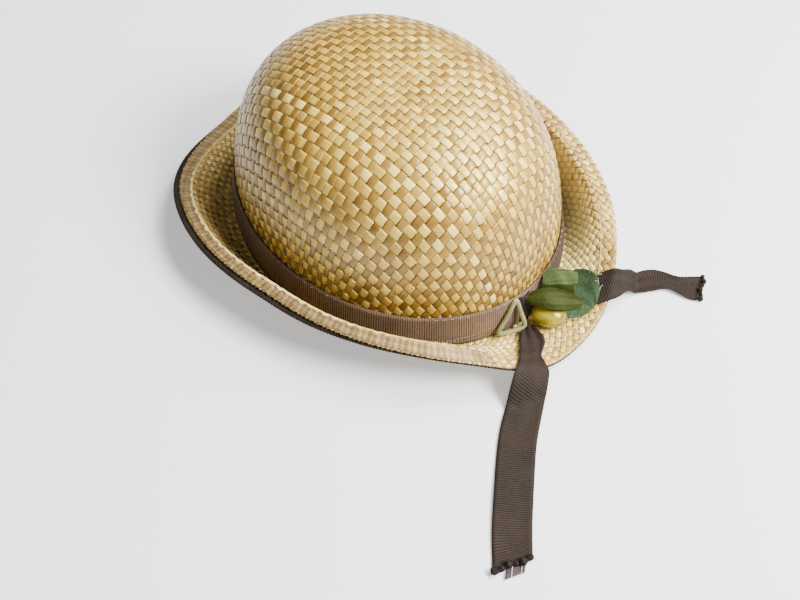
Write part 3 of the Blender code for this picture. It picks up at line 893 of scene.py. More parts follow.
# The tails and their rolled ends take a copy of the band's grosgrain painted far darker. It is the same
# ribbon, so the difference is painted shade.
TAIL_GROSGRAIN_PAINTED_SHADE = cloth_finish("tail_grosgrain_painted_shade", (0.0024, 0.0015, 0.0011), (0.027, 0.0180, 0.0125),
                          0.80, 0.005, ribs=0.6)
TAUPE_SHADE = cloth_finish("taupe_grosgrain_shade", (0.006, 0.003, 0.004), (0.030, 0.017, 0.019), 0.8, 0.02)
LILAC_GREY = cloth_finish("lilac_grey_lining", (0.026, 0.019, 0.024), (0.075, 0.058, 0.070), 0.7, 0.02)
FRAY_THREAD = cloth_finish("frayed_thread", (0.16, 0.20, 0.12), (0.34, 0.38, 0.26), 0.7, 0.05, 2500.0)
DARK_BROWN = cloth_finish("dark_facing_ribbon", (0.0065, 0.0045, 0.0035), (0.030, 0.021, 0.016), 0.85, 0.01)
LILAC_THREAD = cloth_finish("lilac_thread", (0.20, 0.16, 0.17), (0.38, 0.32, 0.34), 0.70, 0.1, 2500.0)
PALE_THREAD = cloth_finish("pale_thread", (0.30, 0.23, 0.13), (0.52, 0.43, 0.28), 0.70, 0.1, 2500.0)
print("ribbon finishes", TAUPE.name, DARK_BROWN.name)

# %% [markdown]
# The dark facing is a ribbon sewn under the hem. Along the photo's near side it stands a
# few millimetres past the straw. Its edge is given small loops, like a picot's, which is
# a guess: the photo is too coarse there to tell.


# %% Brim facing
def hem_point(angle, along):
    """A point on the upper face of the hem; along is 0 at the straw edge."""
    reach, rise, tilt = brim_reach(angle)
    return oval(angle, reach + along * math.cos(tilt), rise + along * math.sin(tilt))


def under_hem(angle, along, depth):
    """A point square below the hem's upper face."""
    across = hem_point(angle, along + GAP) - hem_point(angle, along - GAP)
    around = hem_point(angle + 1, along) - hem_point(angle - 1, along)
    return hem_point(angle, along) - depth * around.cross(across).normalized()


FACING_ROWS = 5
facing = []
for angle in range(0, 360, 2):
    show = FACING_SHOW * row_at(FACING_SHOWS, "angle", angle, 360)[0]
    facing.append([under_hem(angle, along, STRAW + 2 * GAP)
                   for along in np.linspace(-FACING_LAP, show, FACING_ROWS)])
facing = np.array(facing)
facing = refine(np.concatenate([facing, facing[:1]]), 1801)[:-1]
outward = facing[:, -1] - facing[:, -2]
outward /= np.linalg.norm(outward, axis=1, keepdims=True)
picots = np.abs(np.sin(np.arange(1800) * np.pi / 4.5))
facing[:, -1] += outward * (0.00035 * picots)[:, None]
facing_ribbon = add_sheet("facing_ribbon", facing, DARK_BROWN, 0.0007,
                          ["brim_facing"], closed=True, offset=-1.0)

# %% [markdown]
# The hat band. It stands up from the brim over the short collar and leans in to the
# crown above it. Its ribs are upright, one every 1.25 mm; between them the ribbon is
# pressed a quarter of a millimetre lower. A slow wave keeps it from looking machine made.

# %% Hat band
RIB_PITCH = 0.00125
band_profile = band_rows()
band_heights = [row[0] for row in band_profile]
perimeter = math.pi * (BASE_WIDTH + BASE_LENGTH + 2 * COLLAR_OUT)
BAND_RIBS = int(perimeter / RIB_PITCH)
band = []
for i in range(2 * BAND_RIBS):
    angle = 360 * i / (2 * BAND_RIBS)
    turn = math.radians(angle)
    wave = 0.00012 * math.sin(7 * turn + 1) + 0.00010 * math.sin(17 * turn)
    rib = 0.00013 if i % 2 else -0.00013
    row = []
    for height in np.linspace(BAND_BOTTOM, BAND_TOP, 10):
        share = float(np.interp(height, band_heights, [row_[1] for row_ in band_profile]))
        inner = float(np.interp(height, band_heights, [row_[2] for row_ in band_profile]))
        edge = 1.0 if BAND_BOTTOM < height < BAND_TOP else 0.4
        row.append(oval(angle, inner + RIBBON * 0.8 + wave + rib * edge, height, share))
    band.append(row)
band = np.array(band)
hat_ribbon = add_sheet("hat_ribbon", band, TAUPE, 0.0007, ["hat_band"],
                       closed=True, offset=1.0)
# Round 330 degrees the band is painted darker: painted shade, taken off the same value as the ribs'
# alternating tone.
PAINTED_SHADE_ANGLE, PAINTED_SHADE_SPAN, PAINTED_SHADE_GAIN = 330, 28, 0.7
darker = PAINTED_SHADE_GAIN * np.exp(-((np.linspace(0, 360, len(band)) - PAINTED_SHADE_ANGLE) / PAINTED_SHADE_SPAN) ** 2)
tag(hat_ribbon, "rib", np.repeat(np.arange(len(band)) % 2 - darker, band.shape[1]))

# %% [markdown]
# The two loose tails are ends of the same ribbon. Each is followed in steps from where it
# leaves the band: a table says which way it heads and how much of its width is spread out.
# Where it is pinched, the spare width goes into a lengthwise pleat, as in real ribbon.

# %% Ribbon tails
Turn = namedtuple("Turn", "along heading width right")
TIE_NEAR_TURNS = [
    Turn(0.00, 56, 0.30, 1.00),
    Turn(0.06, 50, 0.62, 1.02),
    Turn(0.09, 46, 0.72, 0.85),
    Turn(0.13, 40, 0.80, 0.48),
    Turn(0.16, 36, 0.82, 0.45),
    Turn(0.20, 30, 0.84, 0.90),
    Turn(0.24, 26, 0.86, 1.00),
    Turn(0.38, 27, 0.97, 1.00),
    Turn(0.55, 35, 1.00, 1.00),
    Turn(0.80, 37, 1.00, 1.00),
    Turn(0.93, 41, 1.00, 1.00),
    Turn(1.00, 34, 0.95, 1.00),
]
TIE_FAR_TURNS = [
    Turn(0.00, 128, 0.60, 0.90),
    Turn(0.20, 136, 0.84, 0.85),
    Turn(0.34, 150, 0.80, 0.85),
    Turn(0.45, 160, 0.48, 0.85),
    Turn(0.56, 153, 0.66, 0.95),
    Turn(0.67, 132, 0.72, 0.95),
    Turn(0.80, 112, 0.56, 0.80),
    Turn(0.92, 123, 0.78, 0.95),
    Turn(1.00, 134, 0.82, 1.00),
]
TIE_NEAR_LENGTH = 0.1370
TIE_FAR_LENGTH = 0.0840
TIE_ROWS = 34
TIE_COLUMNS = 11


def tie_rows(start, turns, length, slant, fold):
    """Rows of points across a tail of ribbon, and its ribs."""
    place = Vector((start.x, start.y, 0))
    rows = []
    for i in range(TIE_ROWS + 1):
        heading, width, right = row_at(turns, "along", i / TIE_ROWS)
        turn = math.radians(heading)
        ahead = Vector((math.cos(turn), math.sin(turn), 0))
        side = Vector((-math.sin(turn), math.cos(turn), 0))
        near_end = smooth_step((i / TIE_ROWS - 0.86) / 0.14)
        spare = max(1 - width, 0)
        row = []
        for share in np.linspace(-0.5, 0.5, TIE_COLUMNS):
            reach = float(share) * width * (right if share > 0 else 1.0)
            point = place + side * reach * TIE_WIDTH
            point += ahead * slant * near_end * float(share)
            lifted = min(brim_height(point.x, point.y) / STRAW, 1)
            point.z = lay_over(point.x, point.y, RIBBON / 2 + TIE_CLEAR * lifted)
            pleat = 0.5 + 0.5 * math.cos(4 * math.pi * float(share))
            point.z += min(spare, 0.4) * 0.0030 * pleat
            point.z += fold * (1 - smooth_step((i / TIE_ROWS - 0.145 + 0.05 * float(share)) / 0.03))
            row.append(point)
        rows.append(row[::-1])
        place = place + ahead * length / TIE_ROWS
    rows = np.array(rows)
    ribs = int(length / RIB_PITCH)
    fine = refine(rows, 2 * ribs + 1)
    far = np.linspace(0, 1, len(fine))
    wave = 0.0006 * np.sin(far * 11) * np.clip(far * 4, 0, 1)
    curl = np.linspace(-1, 1, TIE_COLUMNS) ** 4
    fine[:, :, 2] += np.maximum(wave, 0)[:, None] + 0.0005 * curl * (0.5 + 0.5 * np.sin(far * 17))[:, None]
    ridge = np.where(np.arange(len(fine)) % 2, 0.00013, -0.00013)[:, None, None]
    ridge = ridge * np.where(curl > 0.9, 0.3, 1.0)[None, :, None]
    hem = np.clip((far - (1 - 0.0030 / length)) / (0.0008 / length), 0, 1)
    fine[:, :, 2] += 0.0006 * hem[:, None]
    return fine + row_normals(fine) * ridge


def upward(rows):
    """The same rows, turned so that the faces look up."""
    return rows if row_normals(rows)[len(rows) // 2, 5, 2] > 0 else rows[:, ::-1]


near_start, far_start = on_brim(8.0, 0.27), on_brim(-9.5, 0.24)
near_rows = upward(tie_rows(near_start, TIE_NEAR_TURNS, TIE_NEAR_LENGTH, -0.0100, 0.0012))
far_rows = upward(tie_rows(far_start, TIE_FAR_TURNS, TIE_FAR_LENGTH, 0.0050, 0.0))
tail_near = add_sheet("ribbon_tail_near", near_rows, TAIL_GROSGRAIN_PAINTED_SHADE, 0.0006, ["tie_near"])
tail_far = add_sheet("ribbon_tail_far", far_rows, TAIL_GROSGRAIN_PAINTED_SHADE, 0.0006, ["tie_far"])
for tail, rows in ((tail_near, near_rows), (tail_far, far_rows)):
    tag(tail, "rib", np.repeat(np.arange(len(rows)) % 2, rows.shape[1]))

# %% [markdown]
# The cut ends of the tails are rolled over. The roll is lumpy and darker than the ribbon: it takes the
# tails' painted shade, and fewer of its rings carry the lighter rib tone.
# From the long tail's end a paler scrap of cloth hangs out, with two pale threads across it.


# %% Rolled ends of the tails
def rolled_end(name, rows, radius, lump):
    """A lumpy roll of cloth along the last row of a tail, and which way the tail heads."""
    ahead = rows[-1].mean(axis=0) - rows[-9].mean(axis=0)
    ahead[2] = 0
    ahead /= np.linalg.norm(ahead)
    share = np.linspace(0, 1, 60)
    knots = np.linspace(0, 1, len(rows[-1]))
    path = np.array([np.interp(share, knots, rows[-1][:, k]) for k in range(3)]).T
    path += ahead * (0.0006 * np.sin(share * 11))[:, None] - ahead * radius * 0.6
    lumps = 1 + lump * np.sin(share * 27) * np.sin(share * 9 + 1)
    path[:, 2] = np.maximum(path[:, 2], radius * lumps + 0.0001)
    points, faces = tube(path, radius * lumps, 10)
    made = add_piece(name, points, faces, TAIL_GROSGRAIN_PAINTED_SHADE)
    tag(made, "rib", (np.arange(len(points)) // 10 % 3 == 0) * 0.6)
    return made, ahead


near_roll, near_ahead = rolled_end("rolled_end_near", near_rows, 0.0016, 0.40)
far_roll, far_ahead = rolled_end("rolled_end_far", far_rows, 0.0012, 0.35)
near_tip = near_rows[-1] if near_rows[-1][0][1] > near_rows[-1][-1][1] else near_rows[-1][::-1]
scrap = []
for far in np.linspace(0, 1, 16):
    row = []
    for share in np.linspace(0.16, 0.64, 11):
        place = np.array([np.interp(share + 0.03 * far, np.linspace(0, 1, len(near_tip)), near_tip[:, k])
                          for k in range(3)])
        place += near_ahead * (0.0062 * far - 0.0010)
        place[2] = 0.0006 + 0.0004 * (1 + math.sin(7 * far + 5 * share))
        row.append(place)
    scrap.append(row)
scrap = np.array(scrap)
lining_scrap = add_sheet("lining_scrap", upward(scrap), LILAC_GREY, 0.0004)
thread_points, thread_faces, first = [], [], 0
for share in (2, 7):
    line = scrap[:, share] + np.array([0, 0, 0.0004])
    cloud, found = tube(line, 0.00026, 6)
    thread_points.append(cloud)
    thread_faces.extend([tuple(first + p for p in face) for face in found])
    first += len(cloud)
scrap_threads = add_piece("scrap_threads", np.concatenate(thread_points), thread_faces, PALE_THREAD)

# %% [markdown]
# The leaves look like satin and a round of felted cloth. Each is a small sheet from its
# root to its tip, with a pressed middle vein, side veins and a few handling creases, so
# that its shine breaks up as it does on cloth.


# %% Leaves
def satin_finish(name, dark, light, roughness, sheen):
    made = cloth_finish(name, dark, light, roughness, sheen, 1400.0, 0.00003)
    made.node_tree.nodes["Principled BSDF"].inputs["Specular IOR Level"].default_value = 0.16
    made.node_tree.nodes["Principled BSDF"].inputs["Specular Tint"].default_value = (0.7, 0.8, 0.4, 1)
    return made


OLIVE_SATIN = satin_finish("olive_satin", (0.006, 0.009, 0.001), (0.017, 0.024, 0.002), 0.50, 0.01)
# The upper blade's satin is a paler copy of the olive satin. Both blades are one strip of cloth, so the
# paler copy is painted light.
SATIN_PAINTED_LIGHT = satin_finish("pale_green_satin", (0.021, 0.034, 0.010), (0.048, 0.072, 0.025), 0.45, 0.02)
SATIN_FOLD_PAINTED_SHADE = satin_finish("olive_satin_fold_painted_shade", (0.012, 0.016, 0.002), (0.036, 0.043, 0.004), 0.60, 0.01)
EMERALD_CLOTH = cloth_finish("emerald_cloth", (0.007, 0.023, 0.009), (0.034, 0.062, 0.024), 0.75, 0.01)

Blade = namedtuple("Blade", "along left right lift")
OLIVE_BLADE = [
    Blade(0.00, 0.02, 0.03, 0.00),
    Blade(0.15, 0.24, 0.24, 0.05),
    Blade(0.38, 0.42, 0.38, 0.09),
    Blade(0.65, 0.42, 0.38, 0.08),
    Blade(0.86, 0.32, 0.30, 0.03),
    Blade(1.00, 0.14, 0.14, 0.00),
]
FLAP_BLADE = [
    Blade(0.00, 0.20, 0.48, 0.00),
    Blade(0.20, 0.44, 0.50, 0.03),
    Blade(0.45, 0.48, 0.48, 0.05),
    Blade(0.75, 0.44, 0.46, 0.04),
    Blade(1.00, 0.34, 0.36, 0.02),
]
EMERALD_BLADE = [
    Blade(0.00, 0.18, 0.10, 0.00),
    Blade(0.18, 0.40, 0.30, 0.04),
    Blade(0.42, 0.50, 0.48, 0.06),
    Blade(0.68, 0.48, 0.50, 0.05),
    Blade(0.88, 0.34, 0.38, 0.02),
    Blade(1.00, 0.12, 0.16, 0.00),
]
LEAF_CLOTH = 0.0010
LEAF_CURL = 0.10


def leaf_rows(root, tip, face, blade, width, above_brim=None):
    """Points of a leaf from root to tip; face is the way its upper side looks."""
    length = (tip - root).length
    along = (tip - root).normalized()
    side = face.cross(along).normalized()
    up = along.cross(side)
    rows = []
    for i in range(13):
        left, right, lift = row_at(blade, "along", i / 12)
        middle = root + along * length * i / 12 + up * lift * length
        row = []
        for share in np.linspace(-1, 1, 7):
            share = float(share)
            point = middle + side * share * (left if share > 0 else right) * width
            if above_brim is None:
                point -= up * LEAF_CURL * width * share * share
            else:
                point.z = lay_over(point.x, point.y, above_brim) + lift * length
            row.append(point)
        rows.append(row[::-1])
    fine = refine(rows, 61)
    fine = refine(fine.transpose(1, 0, 2), 31).transpose(1, 0, 2)
    return fine


def press_veins(rows, vein, side_vein, crease):
    """Middle vein, slanting side veins and loose creases, pressed square to the leaf."""
    far = np.linspace(0, 1, rows.shape[0])[:, None]
    across = np.linspace(-1, 1, rows.shape[1])[None, :]
    relief = -vein * np.exp(-(across / 0.09) ** 2) * (1 - far)
    relief = relief + side_vein * np.sin(2 * math.pi * (far * 7 - np.abs(across) * 1.6))
    relief = relief + crease * np.sin(9 * far + 5 * across + 1) * np.sin(7 * across - 4 * far)
    normal = row_normals(rows)
    normal *= np.sign(normal[30, 15, 2])
    return rows + normal * relief[..., None]


OLIVE_LENGTH = 0.0320
FLAP_LENGTH = 0.0185
FLAP_WIDTH = 0.0096
EMERALD_LENGTH = 0.0270
EMERALD_WIDTH = 0.0290
BERRY_LENGTH = 0.0195
BERRY_WIDTH = 0.0138
berry_place = on_brim(1.2, 0.40, BERRY_WIDTH / 2 + 2 * GAP)
cloth_on_berry = berry_place.z + BERRY_WIDTH / 2 + GAP + LEAF_CLOTH

olive_root = on_band(6.8, 0.86, 2 * GAP + LEAF_CLOTH / 2)
olive_root.z = max(olive_root.z, cloth_on_berry)
olive_aim = oval(-4.5, BRIM_REACH * 0.62, cloth_on_berry)
olive_tip = olive_root + (olive_aim - olive_root).normalized() * OLIVE_LENGTH
olive = leaf_rows(olive_root, olive_tip, Vector((0.15, 0.25, 1)), OLIVE_BLADE, 0.0150)
olive = press_veins(olive, 0.00008, 0.00002, 0.00012)
olive_leaf = add_sheet("satin_leaf_olive", upward(olive), OLIVE_SATIN, 0.0005,
                       ["leaf_olive"])

flap_root = on_band(-4.2, 1.0, 2 * GAP + LEAF_CLOTH / 2)
flap_aim = oval(-9.0, COLLAR_OUT + GAP + RIBBON + 0.0150 * 0.75, BAND_TOP)
flap_tip = flap_root + (flap_aim - flap_root).normalized() * FLAP_LENGTH
flap = leaf_rows(flap_root, flap_tip, Vector((0, 0.35, 1)), FLAP_BLADE, FLAP_WIDTH)
flap = press_veins(flap, 0.00005, 0.00002, 0.00030)
flap_leaf = add_sheet("satin_leaf_pale", upward(flap), SATIN_PAINTED_LIGHT, 0.0005,
                      ["leaf_flap"])

over_tie = TIE_CLEAR + RIBBON + 2 * GAP + LEAF_CLOTH / 2
emerald_root = on_brim(-13.0, 0.10, over_tie)
emerald_aim = on_brim(-9.0, 0.92, over_tie)
emerald_tip = emerald_root + (emerald_aim - emerald_root).normalized() * EMERALD_LENGTH
emerald = leaf_rows(emerald_root, emerald_tip, Vector((0, 0, 1)), EMERALD_BLADE, EMERALD_WIDTH,
                    over_tie)
emerald = press_veins(emerald, 0.0002, 0.00006, 0.00045)
emerald_leaf = add_sheet("cloth_leaf_emerald", upward(emerald), EMERALD_CLOTH,
                         0.0005, ["leaf_emerald"])

# %% [markdown]
# The two green blades are taken as one strip of satin folded over itself. Between them its
# back dips in a sharp crease, so a narrow valley of cloth joins the two edges that face each
# other, and its lowest line lies close to the lower blade. The valley's satin is darker than
# the pale blade's, as painted shade in the crease.


# %% Fold between the two blades
def facing_edges(rows, others):
    """The long edge of each of two leaves that lies nearest to the other leaf."""
    pairs = [(a, b) for a in (rows[:, 0], rows[:, -1]) for b in (others[:, 0], others[:, -1])]
    return min(pairs, key=lambda pair: np.linalg.norm(pair[0].mean(axis=0) - pair[1].mean(axis=0)))


flap_edge, olive_edge = facing_edges(flap, olive)
far = np.linspace(0, 1, 41)
flap_line = np.array([np.interp(far * 0.92, np.linspace(0, 1, 61), flap_edge[:, k]) for k in range(3)]).T
olive_line = np.array([np.interp(0.30 + far * 0.60, np.linspace(0, 1, 61), olive_edge[:, k])
                       for k in range(3)]).T
fold_across = np.linspace(-0.06, 1.06, 15)[None, :, None]
fold = flap_line[:, None] * (1 - fold_across) + olive_line[:, None] * fold_across
valley = np.interp(fold_across[0, :, 0], [-0.06, 0.0, 0.72, 1.0, 1.06],
                   [0.0006, 0.0006, 0.0024, 0.0008, 0.0006])
fold[:, :, 2] -= valley[None, :]
satin_fold = add_sheet("satin_leaf_fold", upward(fold), SATIN_FOLD_PAINTED_SHADE, 0.0004)

# %% [markdown]
# The berry looks like a lacquered ball, a little longer than round. The dimple for its stem
# is a guess. A clear coat over a slightly uneven yellow gives the sharp window highlight.

# %% Berry
made, tree, shader = new_finish("yellow_lacquer", 0.25, coat=0.45)
shader.inputs["Coat Roughness"].default_value = 0.06
place = add_node(tree, "ShaderNodeTexCoord", {}).outputs["Object"]
cloudy = add_node(tree, "ShaderNodeTexNoise", {"Vector": place, "Scale": 160.0, "Detail": 4.0})
tree.links.new(ramp(tree, cloudy.outputs["Fac"], [(0.30, 0.17, 0.125, 0.001), (0.55, 0.29, 0.228, 0.001),
                                                  (0.75, 0.40, 0.33, 0.003)]), shader.inputs["Base Color"])
add_bump(tree, shader, cloudy.outputs["Fac"], 0.00010, 0.35)
YELLOW_LACQUER = made
BERRY_HEADING = math.radians(116)
RINGS, AROUND = 40, 48
polar = np.linspace(0.0, np.pi, RINGS)[:, None]
round_ = (np.arange(AROUND) * 2 * np.pi / AROUND)[None, :]
dimple = 1 - 0.16 * np.exp(-(polar / 0.22) ** 2)
long_way = np.cos(polar) * dimple * BERRY_LENGTH / 2 + 0 * round_
wide = np.sin(polar) * (1 + 0.015 * np.sin(3 * round_)) * BERRY_WIDTH / 2
ball = np.stack([long_way, wide * np.cos(round_), wide * np.sin(round_)], axis=2).reshape(-1, 3)
spin = np.array([[math.cos(BERRY_HEADING), -math.sin(BERRY_HEADING), 0],
                 [math.sin(BERRY_HEADING), math.cos(BERRY_HEADING), 0], [0, 0, 1]])
ball_faces = []
for i in range(RINGS - 1):
    for j in range(AROUND):
        k = (j + 1) % AROUND
        ball_faces.append((i * AROUND + j, (i + 1) * AROUND + j, (i + 1) * AROUND + k, i * AROUND + k))
berry = add_piece("lacquered_berry", ball @ spin.T + np.array(berry_place), ball_faces,
                  YELLOW_LACQUER, ["berry"])

# %% [markdown]
# The little triangle looks like wire wound with a pale green strip of cloth. The winding
# is a slow screw: the tube's radius rises and falls round it as it goes along. That takes
# far fewer faces than a wound strip would.

# %% Wrapped wire loop
Bend = namedtuple("Bend", "angle height off")
LOOP_BENDS = [
    Bend(9.0, 0.26, 2.3),
    Bend(9.6, 0.60, 1.2),
    Bend(10.2, 0.96, 0.70),
    Bend(11.4, 0.98, 0.70),
    Bend(15.0, 0.55, 0.70),
    Bend(18.8, 0.24, 0.95),
    Bend(18.0, 0.14, 1.2),
    Bend(13.6, 0.14, 1.8),
    Bend(10.2, 0.18, 2.3),
]
WIRE = 0.0026
WRAP_PITCH = 0.0011
bends = np.array([on_band(b.angle, b.height, b.off * WIRE) for b in LOOP_BENDS])
loop_path = []
for i in range(len(bends)):
    a, b, c = bends[i - 1], bends[i], bends[(i + 1) % len(bends)]
    for t in np.linspace(0, 1, 40, endpoint=False):
        loop_path.append(0.5 * (1 - t) ** 2 * a + (0.5 + t - t * t) * b + 0.5 * t * t * c)
loop_path = np.array(loop_path)
loop_steps = np.linalg.norm(np.diff(loop_path, axis=0, append=loop_path[:1]), axis=1)
loop_run = np.concatenate([[0], np.cumsum(loop_steps)[:-1]])
wraps = round(float(loop_steps.sum()) / WRAP_PITCH)
screw = 2 * np.pi * wraps * loop_run / loop_steps.sum()
loop_turn = np.arange(12) * 2 * np.pi / 12
loop_radius = WIRE / 2 * (0.97 + 0.09 * np.abs(np.sin((screw[:, None] - loop_turn[None, :]) / 2)))
loop_points, loop_faces = tube(loop_path, 1.0, 12, closed=True)
loop_points = loop_points.reshape(-1, 12, 3)
loop_points = loop_path[:, None] + (loop_points - loop_path[:, None]) * loop_radius[..., None]
GREEN_WRAP = cloth_finish("pale_green_wrap", (0.085, 0.095, 0.030), (0.24, 0.25, 0.10), 0.7, 0.1, 1500.0)
wire_loop = add_piece("wrapped_wire_loop", loop_points.reshape(-1, 3), loop_faces, GREEN_WRAP,
                      ["wire_loop"])
print("loop length", round(float(loop_steps.sum()), 4), "wraps", wraps)

# %% [markdown]
# Between the loop and the berry a small tab of ribbon shows in deep shade, standing a
# little off the band. It is taken as the band's free end, folded back on itself, and made
# as a small bowed sheet.

# %% Folded tab of the band
tab = []
for across in np.linspace(0, 1, 2 * 7 + 1):
    bow = math.sin(math.pi * across)
    tab.append([on_band(8.6 - 5.0 * across, h, 0.0006 + 0.0016 * bow) for h in np.linspace(0.06, 0.93, 12)])
tab = np.array(tab)
ribbon_tab = add_sheet("ribbon_tab", tab, TAUPE_SHADE, 0.0005)

# %% [markdown]
# Stitches. Each is a short piece of thread that comes up, lies on the cloth and goes
# down again, so it is made as a small arch. Rows of them are joined in one piece.


# %% Stitches
def stitch_row(name, places, directions, normals, length, thread, finish):
    """Small arches of thread at places, along directions."""
    points, faces, first = [], [], 0
    t = np.linspace(-0.5, 0.5, 6)
    arch = np.array([-0.6, 0.55, 1.0, 1.0, 0.55, -0.6])
    for place, direction, normal in zip(places, directions, normals):
        wag = 1 + chance.normal(0, 0.10)
        path = (place + direction * (t * length * wag)[:, None]
                + normal * (arch * thread * 0.7)[:, None])
        cloud, found = tube(path, thread / 2, 6)
        points.append(cloud)
        faces.extend([tuple(first + p for p in face) for face in found])
        first += len(cloud)
    return add_piece(name, np.concatenate(points), faces, finish)


def unit(vectors):
    return vectors / np.linalg.norm(vectors, axis=-1, keepdims=True)


hem_count = 170
hem_angle = np.arange(hem_count) * 360 / hem_count
brim_runs = np.linalg.norm(np.diff(brim_grid, axis=1), axis=2).sum(axis=1)
hem_runs = brim_runs[(hem_angle * 2).astype(int) % BRIM_STEPS]
hem_reach = 1 - BRIM_HEM * (0.98 - CREASE_HEM * near_crest(hem_angle)) / hem_runs
hem_places = on_grid(brim_grid, hem_angle, hem_reach)
hem_normals = unit(on_grid(brim_normal, hem_angle, hem_reach))
hem_ways = unit(on_grid(brim_grid, hem_angle + 0.5, hem_reach) - hem_places)
welt_angle = np.arange(1440) / 4
welt_reach = np.interp(welt_angle, np.append(hem_angle, 360), np.append(hem_reach, hem_reach[0]))
near_side = np.exp(-((welt_angle - 105) / 62) ** 4)
ripple = np.sin(np.radians(welt_angle) * 118) * np.sin(np.radians(welt_angle) * 23 + 1)
welt_path = on_grid(brim_grid, welt_angle, welt_reach + 0.010 * ripple * near_side)
welt_path += unit(on_grid(brim_normal, welt_angle, welt_reach)) * (0.0003 + 0.0007 * near_side)[:, None]
welt_radius = 0.00040 + 0.00045 * near_side * (1 + 0.35 * ripple)
welt_points, welt_faces = tube(welt_path, welt_radius, 8, closed=True)
hem_welt = add_piece("hem_welt", welt_points, welt_faces, BRIM_STRAW_SHEEN_LIT)
tag(hem_welt, "tint", np.repeat(0.50 + 0.46 * near_side + 0.08 * ripple, 8))
welt_lie = np.stack([welt_angle * 0.0014, welt_angle * 0.0003, np.zeros(len(welt_angle))], axis=1)
tag(hem_welt, "lie", np.repeat(welt_lie, 8, axis=0))

# %% [markdown]
# On the near side the hem is folded over and looks finer than the rest. It is made as one
# thin sheet with a fine relief and a checked tint, laid over the strands of the brim. That
# is simpler than weaving cells this small, and looks flatter when it is seen close.

# %% Folded hem
HEM_STRAW = straw_finish("folded_hem_straw", [
    (0.05, 0.050, 0.029, 0.010), (0.40, 0.135, 0.086, 0.034), (0.75, 0.27, 0.185, 0.082),
    (1.00, 0.52, 0.39, 0.18)], 0.50, 0.02)
HEM_CELL = 0.0013
HEM_SLANT = 0.40
HEM_ROWS = 19
FOLD_FROM, FOLD_TO, FOLD_STEP, FOLD_EASE = 24.0, 204.0, 0.12, 6
fold_angle = np.arange(FOLD_FROM, FOLD_TO, FOLD_STEP)
hem_across = np.linspace(0, 1, HEM_ROWS)[None, :]
fold_low = np.interp(fold_angle, np.append(hem_angle, 360), np.append(hem_reach, hem_reach[0]))
fold_share = fold_low[:, None] + (1.004 - fold_low[:, None]) * hem_across
fold_turn = np.broadcast_to(fold_angle[:, None], fold_share.shape)
hem_fold_rows = on_grid(brim_grid, fold_turn, fold_share)
fold_out = unit(on_grid(brim_normal, fold_turn, fold_share))
fold_steps = np.linalg.norm(np.diff(hem_fold_rows[:, HEM_ROWS // 2], axis=0), axis=1)
fold_run = np.concatenate([[0], np.cumsum(fold_steps)])
fold_down = BRIM_HEM * (1 - CREASE_HEM * near_crest(fold_angle))[:, None] * hem_across
cell_a = (HEM_SLANT * fold_run[:, None] + fold_down) / HEM_CELL
cell_b = (HEM_SLANT * fold_run[:, None] - fold_down) / HEM_CELL
fold_ease = np.clip(np.minimum(fold_angle - FOLD_FROM, FOLD_TO - fold_angle) / FOLD_EASE, 0, 1)
hem_relief = np.sin(math.pi * cell_a) * np.sin(math.pi * cell_b)
fold_lift = 0.0001 + 0.0006 * fold_ease[:, None] + 0.00012 * hem_relief
hem_fold_rows = hem_fold_rows + fold_out * fold_lift[..., None]
hem_fold = add_sheet("hem_fold", hem_fold_rows, HEM_STRAW, 0.0004)
# The tint is lighter where the relief is raised and darker where it is pressed, which is painted light and
# shade; the second term is a tone that differs from cell to cell.
hem_tone_and_shade = 0.50 + 0.26 * hem_relief
hem_tone_and_shade += 0.22 * np.sin(np.floor(cell_a) * 5.1) * np.sin(np.floor(cell_b) * 7.3)
tag(hem_fold, "tint", hem_tone_and_shade.ravel() + chance.normal(0, 0.05, hem_tone_and_shade.size))
hem_lie = np.stack([cell_a * 0.0012, cell_b * 0.0004, np.floor(cell_a)], axis=2)
tag(hem_fold, "lie", hem_lie.reshape(-1, 3))
print("hem fold length", round(float(fold_run[-1]), 4))

# %% [markdown]
# Sewing shows as short raised threads: one row holds the hem down, one runs along the top
# of the band and two short ones along its foot. Each stitch is a small tube, because a
# drawn line would catch no light.

# %% Stitches of the hem and band
hem_stitches = stitch_row("hem_stitches", hem_places + hem_normals * 0.00060, hem_ways, hem_normals,
                          0.0030, 0.00045, PALE_THREAD)

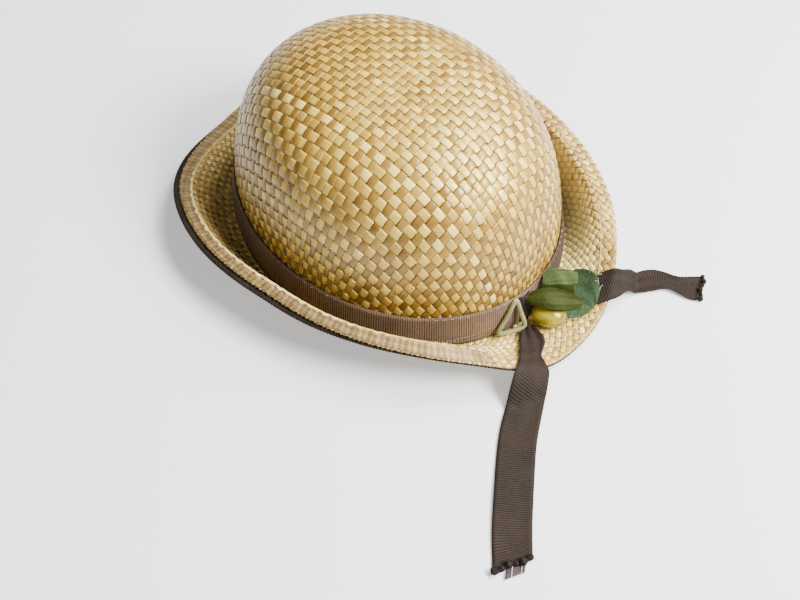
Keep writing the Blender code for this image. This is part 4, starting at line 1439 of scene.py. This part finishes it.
band_count = 128
band_angle = np.arange(band_count) * 360 / band_count + 1.0
band_stitch = np.array([on_band(float(a), 0.945, 0.00015) for a in band_angle])
band_out = unit(np.array([on_band(float(a), 0.945, 0.002) for a in band_angle]) - band_stitch)
band_way = unit(np.array([on_band(float(a) + 0.5, 0.945, 0.00015) for a in band_angle]) - band_stitch)
band_stitches = stitch_row("band_stitches", band_stitch, band_way, band_out, 0.0019, 0.00038,
                           LILAC_THREAD)
low_spots = [(21.5 + 1.25 * i, 0.34 - 0.011 * i) for i in range(24)]
low_spots += [(24.0 + 1.25 * i, 0.16 - 0.002 * i) for i in range(28)]
low_stitch = np.array([on_band(a, h, 0.00015) for a, h in low_spots])
low_out = unit(np.array([on_band(a, h, 0.002) for a, h in low_spots]) - low_stitch)
low_way = unit(np.array([on_band(a + 0.5, h, 0.00015) for a, h in low_spots]) - low_stitch)
lower_stitches = stitch_row("lower_band_stitches", low_stitch, low_way, low_out, 0.0015, 0.00034,
                            LILAC_THREAD)

# %% [markdown]
# The free edge of the emerald leaf has frayed. A few loose threads of its own cloth start
# at the edge and wander outwards, each a little different.

# %% Frayed threads
fray_points, fray_faces, first = [], [], 0
rim = upward(emerald)
for i in range(26):
    far = 0.45 + 0.5 * i / 25
    row = rim[int(far * 60)]
    edge, inner = (row[0], row[3]) if i % 3 else (row[-1], row[-4])
    out = unit(edge - inner)
    bend = chance.normal(0, 0.9, 3)
    bend[2] = abs(bend[2]) * 0.3
    length = chance.uniform(0.0008, 0.0036)
    t = np.linspace(0, 1, 7)[:, None]
    path = inner + (edge - inner) * 0.4 + out * t * length + bend * length * t ** 2
    cloud, found = tube(path, 0.00014, 5)
    fray_points.append(cloud)
    fray_faces.extend([tuple(first + p for p in face) for face in found])
    first += len(cloud)
frayed = add_piece("frayed_threads", np.concatenate(fray_points), fray_faces, FRAY_THREAD)

# %% [markdown]
# The area of one side of each sheet is measured on the pieces made above and printed: the
# two tails, the band, the facing and the three leaves. The tails lie on the brim and on the
# floor, the band is stretched round the crown, and the leaves are laid on one another.


def surface(rows):
    """Area of one side of a sheet."""
    rows = np.asarray(rows)
    return float(np.linalg.norm(np.cross(rows[1:, 1:] - rows[:-1, :-1],
                                         rows[1:, :-1] - rows[:-1, 1:]), axis=2).sum() / 2)


for label, rows in (("near", near_rows), ("far", far_rows), ("band", band), ("facing", facing),
                    ("olive", olive), ("flap", flap), ("emerald", emerald)):
    print(label, "area", round(surface(rows), 6))
